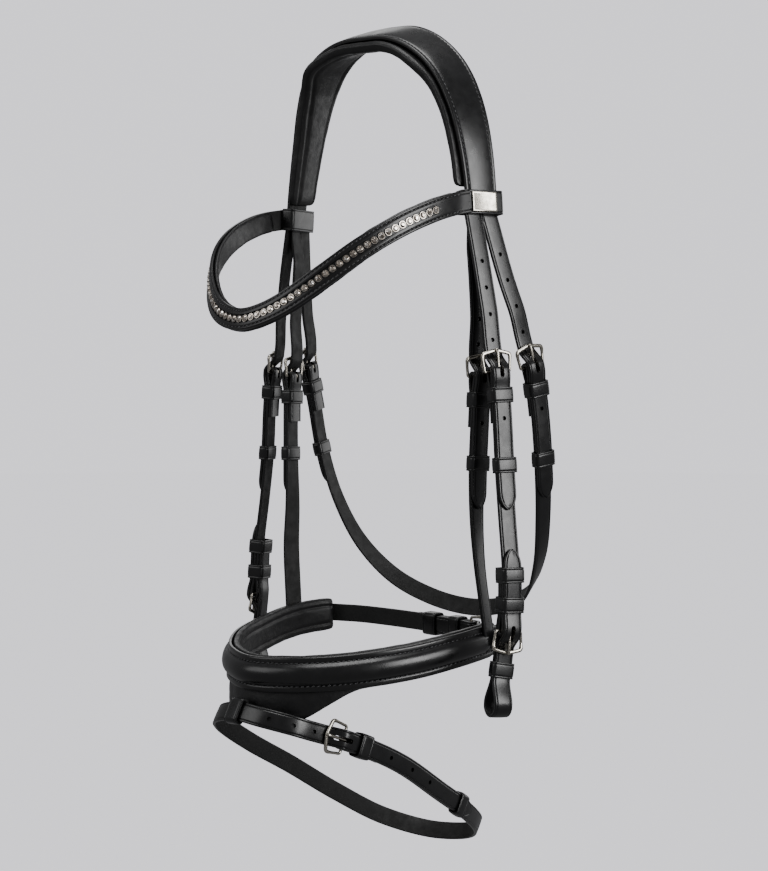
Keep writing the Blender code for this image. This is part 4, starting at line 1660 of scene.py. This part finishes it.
@dataclass
class Browband:
    """The curved front: leather with a channel of stones, a lining, two end loops and a plate."""

    width: float = 15.0
    thick: float = 2.6
    pad_thick: float = 4.0
    channel_half: float = 2.9
    channel_from: float = 32.0
    stone_pitch: float = 5.35
    plate: tuple[float, float, float] = (19.0, 13.5, 1.2)
    loop_z: float = -115.0
    loop_low: float = -3.6
    # Its height, its width inside, its wall and its corners' radius.
    loop: tuple[float, float, float, float] = (16.0, 28.4, 1.5, 1.8)

    def route(self) -> Route:
        """The leather's middle, leaning forward most at the front."""
        return Route(whole(BROW_PATH),
                     lambda share: Vector((0, -0.25 * middleness(share), -1)).normalized())

    def build(self) -> None:
        """Makes every piece of the browband."""
        route = self.route()
        lay = line_over(route, 0, route.length, 0.0, 2.0)
        front = Blank("browband_front", lay, self.section(lay.length), thick=self.thick).make()
        in_leather(front, "browband", ("browband_strap",))
        sewing = Sewing("browband_stitching", size=(2.3, 0.6, 0.5))
        for sign in (-1, 1):
            sewing.row(lay, sign * (self.width / 2 - 2.0), self.thick / 2 - 0.1, 9, lay.length - 9,
                       3.2)
        sewing.make("browband")
        self.build_lining(route)
        self.build_stones(lay)
        legs, middle = crown_route()
        centre = middle + Route(CROWN_PATH, None).find(self.loop_z, 2)
        high = Headpiece.thick + SEAM
        for side in Side:
            loop = Loop(f"browband_loop_{side.value}", legs, centre, self.loop_low, high, side,
                        *self.loop)
            in_leather(loop.make(), "browband")
        self.build_plate(legs, centre, high)

    def section(self, length: float) -> Section:
        """The leather's section, with a channel that has round ends.

        Args:
            length: The band's length.

        Returns:
            The section at each length.
        """
        half = self.width / 2
        insets = np.array([0, 0.3, 0.8, 1.5, 2.0, 2.5, 3.2, 4.0])
        rise = np.array([-0.7, -0.2, 0, 0, -0.35, 0.0, 0.12, 0.15])

        def at(x: float) -> tuple[np.ndarray, np.ndarray, np.ndarray]:
            """The rows at length x, where the channel is as wide as its round end lets it be."""
            inside = min(x - self.channel_from, length - self.channel_from - x)
            deep = eased(inside / 0.4)
            short = max(self.channel_half - max(inside, 0.0), 0.0)
            wide = max(math.sqrt(max(self.channel_half ** 2 - short ** 2, 0.0)), 0.3)
            across = np.concatenate([insets - half, [-wide, -wide + 0.25, -wide * 0.4]])
            top = np.concatenate([rise, [0.12 - 0.05 * deep, 0.12 - 1.1 * deep,
                                         0.12 - 1.15 * deep]])
            low = np.concatenate([[0.45, 0.1], np.zeros(9)])
            across = np.concatenate([across, [0.0], -across[::-1]])
            top = np.concatenate([top, [top[-1]], top[::-1]])
            low = np.concatenate([low, [0.0], low[::-1]])
            return across, self.thick / 2 + top, low - self.thick / 2

        return at

    def build_lining(self, route: Route) -> None:
        """Makes the padded lining behind the leather.

        Args:
            route: The band's route.
        """
        lay = line_over(route, route.length / 32, route.length * 31 / 32, -self.thick / 2 - SEAM,
                        2.4)

        def ring(x: float, angles: np.ndarray) -> tuple[np.ndarray, np.ndarray]:
            """The pad's outline at length x: its points across and out."""
            full = end_share(x, lay.length, 5)
            c, n = rounded(angles, 0.7)
            half = (self.width + 0.4) / 2 * (0.8 + 0.2 * full)
            return c * half, -self.pad_thick / 2 * (1 - n * full)

        lining = Pad("browband_lining", lay, ring, pressure=1.5, most=0.5, around=28).make()
        finish(lining, [NAPPA], "browband", ("browband_padding",))

    def build_stones(self, lay: Lay) -> None:
        """Sets one modelled stone in its cup at each place down the channel.

        Args:
            lay: The leather's line.
        """
        first, last = self.channel_from + 2.8, lay.length - self.channel_from - 2.8
        count = int((last - first) // self.stone_pitch) + 1
        spots = np.linspace(first, last, count)
        place, across, out = lay.frames(spots)
        along = np.cross(across, out)
        bpy.ops.object.select_all(action="DESELECT")
        bpy.ops.mesh.primitive_cylinder_add(vertices=8, radius=2.05, depth=1.1)
        stone = self.faceted(bpy.context.object)
        bpy.ops.object.select_all(action="DESELECT")
        bpy.ops.mesh.primitive_torus_add(major_radius=2.2, minor_radius=0.42, major_segments=14,
                                         minor_segments=6)
        cup = bpy.context.object
        for name, template, height, material in (("browband_stones", stone, 1.35, STONE),
                                                 ("browband_cups", cup, 0.75, CUP)):
            places = np.stack([place + out * height, along, across, out], axis=1)
            made = copies(name, *take_apart(template), places)
            if material is CUP:
                smooth(made, 60)
            finish(made, [material], "browband", ("crystal_chain",))

    def faceted(self, stone: bpy.types.Object) -> bpy.types.Object:
        """Cuts a cylinder to a brilliant: a small table, turned half a facet, over a wide girdle.

        Args:
            stone: The cylinder.

        Returns:
            The cut stone.
        """
        points = points_of(stone)
        upper = points[:, 2] > 0
        a = math.pi / 8
        spin = np.array([[math.cos(a), -math.sin(a)], [math.sin(a), math.cos(a)]])
        points[upper, :2] = points[upper, :2] @ spin.T * 0.56
        points[upper, 2] = 0.85
        points[~upper, 2] = -0.35
        set_points(stone, points)
        edit(stone, lambda: bpy.ops.mesh.quads_convert_to_tris(),
             lambda: bpy.ops.mesh.bevel(offset=0.12, segments=1, affect="EDGES"))
        return stone

    def build_plate(self, legs: Route, centre: float, high: float) -> None:
        """Makes the blank plate on the near loop.

        Args:
            legs: The headpiece's route.
            centre: The loop's length on it.
            high: The loop's inner height.
        """
        place, along, across, out = legs.at(centre)
        wide, tall, thick = self.plate
        bpy.ops.object.select_all(action="DESELECT")
        bpy.ops.mesh.primitive_cube_add(size=1)
        made = bpy.context.object
        made.name = made.data.name = "blank_plate"
        set_points(made, points_of(made) * np.array([wide, tall, thick]) * MM)
        apply_modifier(made, "BEVEL", width=0.55 * MM, segments=3, limit_method="ANGLE")
        for face in made.data.polygons:
            face.select = face.normal.z > 0.99
        select_only(made)
        bpy.ops.object.mode_set(mode="EDIT")
        bpy.ops.mesh.inset(thickness=0.8 * MM, depth=-0.12 * MM)
        bpy.ops.object.mode_set(mode="OBJECT")
        low = high + KEEPER_PLAY + self.loop[2] + GAP
        points = points_of(made) / MM
        middle = np.array(place + out * (low + thick / 2))
        ways = rows([across, along, out])
        set_points(made, (middle + points @ ways) * MM)
        tidy_normals(made)
        smooth(made, 30)
        finish(made, [STEEL], "browband", ("name_plate",))


@dataclass
class HungStrap:
    """A billet from the headpiece's fork, going down through a buckle, a keeper and a runner."""

    kind: str
    side: Side
    route: Route
    top: float
    body: str
    tip: float
    runner_at: float
    holes_at: tuple[float, ...]
    pivot: tuple[float, float, float]

    def build_billet(self) -> None:
        """Makes the billet, which rides on no body."""
        edge = self.top - BUCKLE_LENGTH
        start = self.pivot[2] + 117
        rise = 3.5 if self.kind == "hanger" else 0.0
        line = Line(self.route)
        line.run(start, edge - 3, lambda s: (mix(UNDER_EDGE, 0, (edge - 4 - s) / 26)
                                             + mix(rise, 0, (s - start - 6) / 24)))
        line.billet(self.top, -1, self.top + self.tip)
        name = f"{self.kind}_billet_{self.side.value}"
        blank = strap_blank(name + "_leather", line, self.side, True)
        blank.holes = [(blank.lay.mark(self.top + reach), HOLE_RADIUS,
                        0) for reach in self.holes_at]
        blank.holes.append((blank.lay.mark(self.top - SLOT_MIDDLE), *BILLET_SLOT))
        made = in_leather(blank.make(), None, (name,))
        x, y, z = self.pivot
        start, end = ((self.side.sign * x * MM, y * MM, (z + up) * MM) for up in (5, -7))
        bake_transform(made)

    def build_loops(self) -> None:
        """Makes the fixed keeper below the buckle and the runner that slides."""
        tag = self.side.value
        replaced = (f"cheek_keeper_{tag}",) if self.kind == "cheek" else ()
        runner = f"{self.kind}_runner_{tag}"
        for name, down, low, body, stands_for in (
                (f"{self.kind}_fixed_keeper_{tag}", KEEPER_AT, LAYERS_BACK, self.body, replaced),
                (f"{runner}_leather", self.runner_at, UNDER_TOP, runner, (runner,))):
            loop = Loop(name, self.route, self.top + down, low, OVER_TOP, self.side)
            in_leather(loop.make(), body, stands_for)


def hanging_route(path: list, turn_to: float, turn_late: float) -> Route:
    """A hanging strap's route, whose face turns as it goes down and again below its buckle."""
    return Route(path, lambda share: turned(mix(mix(SIDE_TURN, turn_to, share * 3), turn_late,
                                                share * 2.6 - 1.4)))


@dataclass
class Cheekpiece:
    """A cheek strap with a buckle at each end, its billet, and the billet for the bit."""

    side: Side
    top_z: float = -228.0
    bit_z: float = -400.0
    bit_tip: float = 54.0
    loop_spread: float = 6.0

    def build(self) -> None:
        """Makes every piece of the cheekpiece."""
        tag = self.side.value
        body = f"cheekpiece_{tag}"
        route = hanging_route(CHEEK_PATH, 20.0, 20.0)
        top, bit = route.find(self.top_z, 2), route.find(self.bit_z, 2)
        hung = HungStrap("cheek", self.side, route, top, body, 92.0, 62,
                         (-75, -57, -39, -22, 31), (92, -6.5, -125.3))
        hung.build_billet()
        hung.build_loops()
        FoldedStrap(f"cheek_strap_{tag}", f"cheek_strap_stitching_{tag}", route, top, bit,
                    (True, True), body, self.side).build()
        self.build_bit_billet(route, bit, body)
        Buckle(f"cheek_{tag}", Bench(route, top, -1), self.side).build(body)
        Buckle(f"bit_{tag}", Bench(route, bit, 1), self.side).build(body)
        spans = (("upper", bit - 37, -OVER_TOP, OVER_TOP),
                 ("middle", bit - KEEPER_AT - 2, -OVER_TOP, OVER_TOP),
                 ("lower", bit + 26, INNER_LEG - HALF_THICK, UNDER_EDGE + HALF_THICK))
        for part, s, low, high in spans:
            name = f"bit_keeper_{part}_{tag}"
            loop = Loop(name + "_leather", route, s, low, high, self.side)
            in_leather(loop.make(), body, (name,))

    def build_bit_billet(self, route: Route, bit: float, body: str) -> None:
        """Makes the billet that goes down, round the bit's ring and back up through the buckle.

        Args:
            route: The cheek strap's route.
            bit: The lower buckle's length on it.
            body: What it rides on.
        """
        tag = self.side.value
        line = Line(route)
        end, neck = route.length - 8.5, bit + 31
        spread = self.loop_spread

        def leg(s: float) -> float:
            """How far the inner leg lies behind the route at length s."""
            return mix(-TOP_REST, INNER_LEG, (s - bit + 12) / 10) - mix(0, spread, (s - neck) / 18)

        line.run(bit - 40, end - 1.5, leg, 2.4, flip=-1)
        radius = spread + (UNDER_EDGE - INNER_LEG) / 2
        line.turn(end, 1, radius, (-75, 75, 10), (UNDER_EDGE + INNER_LEG) / 2)
        line.run(end - 1.5, bit + BUCKLE_LENGTH + 4,
                 lambda s: UNDER_EDGE + mix(0, spread, (s - neck) / 18), 2.4)
        line.billet(bit, 1, bit - self.bit_tip)
        name = f"bit_billet_{tag}"
        blank = strap_blank(name + "_leather", line, self.side, True)
        blank.holes = [(blank.lay.mark(bit + SLOT_MIDDLE), *BILLET_SLOT)]
        in_leather(blank.make(), body, (name,))


@dataclass
class Hanger:
    """The strap that carries one side of the noseband."""

    side: Side
    top_z: float = -231.0

    def build(self) -> None:
        """Makes the billet, the buckle, its loops and the lower strap."""
        tag = self.side.value
        path = HANGER_PATH if self.side is Side.NEAR else HANGER_OFF_PATH
        route = hanging_route(path, 12.0, -14.0)
        top = route.find(self.top_z, 2)
        hung = HungStrap("hanger", self.side, route, top, "noseband", 89.0, 58,
                         (-57, -39, -22, 31), (86.5, -1.5, -125.3))
        hung.build_billet()
        hung.build_loops()
        FoldedStrap(f"hanger_strap_{tag}", f"hanger_stitching_{tag}", route, top, route.length + 21,
                    (True, False), "noseband", self.side).build()
        Buckle(f"hanger_{tag}", Bench(route, top, -1), self.side).build("noseband")


@dataclass
class Throatlatch:
    """A long strap under the throat with a buckle at each end, and a billet on each side."""

    top_z: float = -225.0

    def across(self, share: float) -> Vector:
        """Across the strap: upright at the cheek, fore and aft with a lean under the throat.

        Args:
            share: The share of the route.

        Returns:
            The way across.
        """
        reach = middleness(share)
        way = turned(mix(SIDE_TURN, 14.0, reach * 3))
        way = way.lerp(Vector((0, 0.34, 0.94)), eased(reach * 1.6 - 0.6)).normalized()
        return way if share < 0.5 else flipped(way)

    def build(self) -> None:
        """Makes both billets and buckles and the strap between them."""
        route = Route(whole(THROAT_PATH), self.across)
        top = route.find(self.top_z, 2)
        for side in Side:
            hung = HungStrap("throat", side, route, top, "throatlatch", 92.0, 64,
                             (-79, -61, -42.5, -24.5, 29), (93.5, 9.5, -127.3))
            hung.build_billet()
            hung.build_loops()
            Buckle(f"throat_{side.value}", Bench(route, top, -1), side).build("throatlatch")
        FoldedStrap("throat_strap", "throat_stitching", route, top, route.length - top,
                    (True, True),
                    "throatlatch").build()


@dataclass
class Noseband:
    """A raised leather band over the nose on a padded lining, and the strap behind the jaw."""

    height: float = 23.0
    thick: float = 6.0
    pad_thick: float = 6.5
    # How far the lining hangs down in front, and how far from the middle that ends and starts.
    flare: tuple[float, float, float] = (20.0, 80.0, 25.0)
    channel_inset: float = 3.9
    channel_height: float = 2.35
    flash_loop: tuple[float, float, float, float] = (12.0, STRAP_WIDTH, 1.8, 2.0)
    chin_bar: float = 50.0
    chin_tip: float = 66.0

    def route(self) -> Route:
        """The seam between leather and lining."""
        return Route(whole(NOSE_PATH),
                     lambda share: Vector((0, -0.12 * middleness(share), -1)).normalized())

    def build(self) -> None:
        """Makes the band, its stitching, the lining, the flash strap's loop and the rear strap."""
        route = self.route()
        lay = line_over(route, 0, route.length, SEAM, 2.4)
        front = Blank("noseband_front", lay, self.section(lay.length), thick=self.thick).make()
        in_leather(front, "noseband", ("noseband_leather",))
        sewing = Sewing("noseband_stitching")
        for sign in (-1, 1):
            sewing.row(lay, sign * (self.height / 2 - self.channel_inset), self.channel_height, 8,
                       lay.length - 8, 3.4)
        sewing.make("noseband")
        self.build_lining(route)
        flash = flash_route()
        half = HALF_THICK + GAP
        loop = Loop("flash_loop", flash, lap_of(flash), -half, half, Side.NEAR, *self.flash_loop)
        in_leather(loop.make(), "noseband")
        self.build_chin()

    def section(self, length: float) -> Section:
        """The band's section: a round roll between two flat rims, flat at both ends.

        Args:
            length: The band's length.

        Returns:
            The section at each length.
        """
        half = self.height / 2
        insets = np.array([0, 0.3, 0.9, 1.6, 2.8, 3.4, 3.9, 4.4, 5.2, 6.2, 7.4, 8.8, 10.2, half])
        rim = np.array([1.2, 1.9, 2.3, 2.35, 2.4, 2.35, 1.95, 2.35, 3.5, 4.5, 5.25, 5.8, 6.05,
                        6.15])

        def at(x: float) -> tuple[np.ndarray, np.ndarray, np.ndarray]:
            """The rows at length x, where the roll rises from both ends."""
            roll = eased((min(x, length - x) - 8) / 14)
            top = np.minimum(rim, 2.4) + np.maximum(rim - 2.4, 0) * roll
            low = np.concatenate([[0.35, 0.1], np.zeros(len(insets) - 2)])
            narrow = mix(0.8, 1, min(x, length - x) / 14)
            across = np.concatenate([insets - half, (half - insets)[::-1][1:]]) * narrow
            return across, *(np.concatenate([h, h[::-1][1:]]) for h in (top, low))

        return at

    def build_lining(self, route: Route) -> None:
        """Makes the lining, which hangs lower as a soft guard behind the flash strap.

        Args:
            route: The band's route.
        """
        lay = line_over(route, 0, route.length, -SEAM, 2.6)
        drop_most, wide, full_to = self.flare

        def ring(x: float, angles: np.ndarray) -> tuple[np.ndarray, np.ndarray]:
            """The pad's outline at length x: its points across and out."""
            full = end_share(x, lay.length, 5)
            drop = mix(drop_most, 0, (abs(x - lay.length / 2) - full_to) / (wide - full_to))
            c, n = rounded(angles, 0.66)
            half = (self.height + 1.6) / 2 * (0.78 + 0.22 * end_share(x, lay.length, 14))
            low = (c + 1) / 2
            across = c * half + drop * low ** 1.6
            thin = 1 - 0.25 * (drop / drop_most) * low ** 2
            rim = np.clip((abs(c) * half - self.height / 2 + 1.4) / 2.4, 0, 1)
            below = np.clip((across - half) / 4, 0, 1)
            top = rim * 0.9 + below * 0.6
            out = np.where(n > 0, top - (1 - n) * self.pad_thick * 0.5,
                           (-self.pad_thick * 0.5 + n * self.pad_thick * 0.5) * thin)
            return across, (out + seam_dip(c, n, 0.55, 1.4)) * full

        lining = Pad("noseband_lining", lay, ring, pressure=2.5, most=0.8, around=64).make()
        finish(lining, [NAPPA], "noseband", ("noseband_padding",))

    def build_chin(self) -> None:
        """Makes the strap behind the jaw, its billet, its buckle and its keeper."""
        route = Route(CHIN_PATH, lambda share: Vector((0, 0, -1)))
        bar = route.find(self.chin_bar, 0)
        FoldedStrap("chin_strap", "chin_stitching", route, -22, bar, (False, True),
                    "noseband").build()
        billet = Line(route)
        edge = bar + BUCKLE_LENGTH
        billet.run(route.length + 22, edge + 3, lambda s: mix(UNDER_EDGE, 0, (s - edge - 4) / 12),
                   2)
        billet.billet(bar, 1, bar - self.chin_tip)
        blank = strap_blank("chin_billet_leather", billet, Side.NEAR, True)
        blank.holes = [(blank.lay.mark(bar + SLOT_MIDDLE), *BILLET_SLOT),
                       (blank.lay.mark(bar - 2 * HOLE_PITCH), HOLE_RADIUS, 0)]
        in_leather(blank.make(), "noseband", ("chin_billet",))
        Buckle("chin", Bench(route, bar, 1), Side.NEAR).build("noseband")
        keeper = Loop("chin_keeper_leather", route, bar - KEEPER_AT, LAYERS_BACK, OVER_TOP)
        in_leather(keeper.make(), "noseband", ("chin_keeper",))
        second = Loop("chin_second_keeper", route, bar - 41, LAYERS_BACK, OVER_TOP, tall=12.0)
        in_leather(second.make(), "noseband")


def flash_route() -> Route:
    """More than a lap of the flash strap's loop, starting at the front."""
    return Route(FLASH_PATH + FLASH_PATH[:10], lambda share: FLASH_ACROSS)


def lap_of(route: Route) -> float:
    """The length of one lap: where the route comes back to its start."""
    return next(s for s in np.arange(400, 700, 0.5) if (route.spot(s) - route.spot(0)).length < 1)


@dataclass
class FlashStrap:
    """The strap from the noseband's front round the chin, and back over itself."""

    bar: float = 82.0
    tip: float = 148.0
    holes_at: tuple[float, ...] = (-3.0, -2.1, -1.25, 2.3, 3.6, 4.8)

    def build(self) -> None:
        """Makes the strap, its buckle and its keepers."""
        route = flash_route()
        lap, bar = lap_of(route), self.bar
        again = lap + bar
        edge = again - BUCKLE_LENGTH - 4
        line = Line(route)
        line.fold_start(bar)
        line.run(bar + 1.5, bar + 14, lambda s: mix(FOLD_RADIUS, REST, (s - bar - 2) / 10),
                 BEND_STEP)
        line.run(bar + 16, lap - 30, lambda s: mix(REST, 0, (s - lap + 80) / 40))
        line.run(lap - 27, edge, lambda s: mix(0, UNDER_EDGE, (s - edge + 22) / 20))
        line.billet(again, -1, again + self.tip)
        blank = strap_blank("flash_strap_leather", line, pointed=True)
        blank.holes = [fold_slot(line, blank.lay, True),
                       (blank.lay.mark(again - SLOT_MIDDLE), *BILLET_SLOT)]
        blank.holes += [(blank.lay.mark(again + HOLE_PITCH * k), HOLE_RADIUS,
                         0) for k in self.holes_at]
        in_leather(blank.make(), "flash", ("flash_strap",))
        fold_sewing("flash_stitching", blank.lay, "flash", Side.NEAR, True, False)
        Buckle("flash", Bench(route, bar, -1), Side.NEAR).build("flash")
        keeper = Loop("flash_keeper_leather", route, bar + KEEPER_AT, LAYERS_BACK, OVER_TOP)
        in_leather(keeper.make(), "flash", ("flash_keeper",))
        second = Loop("flash_tip_runner", route, bar + self.tip - 17, UNDER_TOP, OVER_TOP)
        in_leather(second.make(), "flash")


@dataclass
class Studio:
    """A pale floor, soft light from large panels, and the camera."""

    floor_z: float = -0.86
    floor_radius: float = 9.0
    air: tuple[float, float, float, float] = (1.2, 1.19, 1.26, 1.0)
    dim_air: tuple[float, float, float, float] = (0.21, 0.21, 0.215, 1.0)
    # Each panel's place, what it points at, its size and its power.
    panels: tuple = (
        ((1.6, 0.1, 0.17), (0.1, 0.0, -0.05), (0.66, 1.0), 19.0),
        ((-0.9, -1.9, 0.9), (0.0, 0.0, -0.3), (1.6, 1.4), 12.0),
        ((0.15, -0.15, 1.6), (0.0, 0.0, -0.2), (1.0, 1.0), 20.0),
        ((-1.6, 1.3, 0.5), (0.0, 0.0, -0.3), (1.0, 1.6), 5.0),
        ((0.5, 2.0, 0.1), (0.0, 0.0, -0.3), (1.2, 1.4), 9.0))
    lens_mm: float = 66.13
    sensor_mm: float = 36.0
    stand: tuple[float, float, float] = (0.8061, -0.8125, -0.228)
    # How far the camera looks down, and how far it is turned from the horse's nose to its side.
    down: float = 2.3015
    swung: float = 44.7465

    def build(self) -> None:
        """Makes the floor, the air, the lights and the camera."""
        self.build_floor()
        self.build_air()
        for number, panel in enumerate(self.panels):
            self.build_panel(f"panel_{number}", *panel)
        self.build_camera()

    def build_floor(self) -> None:
        """Makes the lit table, which adds no light and no reflection of its own."""
        bpy.ops.object.select_all(action="DESELECT")
        bpy.ops.mesh.primitive_circle_add(vertices=96, radius=self.floor_radius, fill_type="NGON",
                                          location=(0, 0, self.floor_z))
        floor = bpy.context.object
        floor.name = "studio_floor"
        bpy.ops.object.transform_apply(location=True, rotation=True, scale=True)
        floor.visible_diffuse = floor.visible_glossy = False
        glow = LitFloor("studio_lit_floor", "#303032", "#2C2C2E", self.air)
        floor.data.materials.append(glow.build())

    def build_air(self) -> None:
        """Makes the world: bright to the lens, as a lit sweep is, and dimmer as a light."""
        world = bpy.data.worlds.new("studio_air")
        world.use_nodes = True
        tree = world.node_tree
        tree.nodes.clear()
        path = add_node(tree, "ShaderNodeLightPath")
        air = add_node(tree, "ShaderNodeMix", {"data_type": "RGBA", 6: self.dim_air, 7: self.air},
                       {0: path.outputs["Is Camera Ray"]})
        background = add_node(tree, "ShaderNodeBackground", links={"Color": air.outputs[2]})
        add_node(tree, "ShaderNodeOutputWorld", links={"Surface": background.outputs["Background"]})
        bpy.context.scene.world = world

    def build_panel(self, name: str, place: tuple, aim: tuple, size: tuple, power: float) -> None:
        """Makes one soft panel of light.

        Args:
            name: The panel's name.
            place: Where it stands.
            aim: The point that it faces.
            size: Its width and height.
            power: Its power in watts.
        """
        light = bpy.data.lights.new(name, "AREA")
        light.shape, light.energy = "RECTANGLE", power
        light.size, light.size_y = size
        made = bpy.data.objects.new(name, light)
        made.location = place
        made.rotation_euler = (Vector(aim) - Vector(place)).to_track_quat("-Z", "Y").to_euler()
        bpy.context.scene.collection.objects.link(made)

    def build_camera(self) -> None:
        """Makes the camera and looks through it."""
        lens = bpy.data.cameras.new("camera")
        lens.lens, lens.sensor_width = self.lens_mm, self.sensor_mm
        camera = bpy.data.objects.new("camera", lens)
        camera.location = self.stand
        camera.rotation_euler = (math.radians(90 - self.down), 0, math.radians(self.swung))
        bpy.context.scene.collection.objects.link(camera)
        bpy.context.scene.camera = camera


def main() -> None:
    """Builds the studio and every sub-assembly."""
    logging.basicConfig(level=logging.INFO, format="%(name)s: %(message)s")
    Studio().build()
    Headpiece().build()
    Browband().build()
    for side in Side:
        Cheekpiece(side).build()
        Hanger(side).build()
    Throatlatch().build()
    Noseband().build()
    FlashStrap().build()


if __name__ == "__main__":
    main()
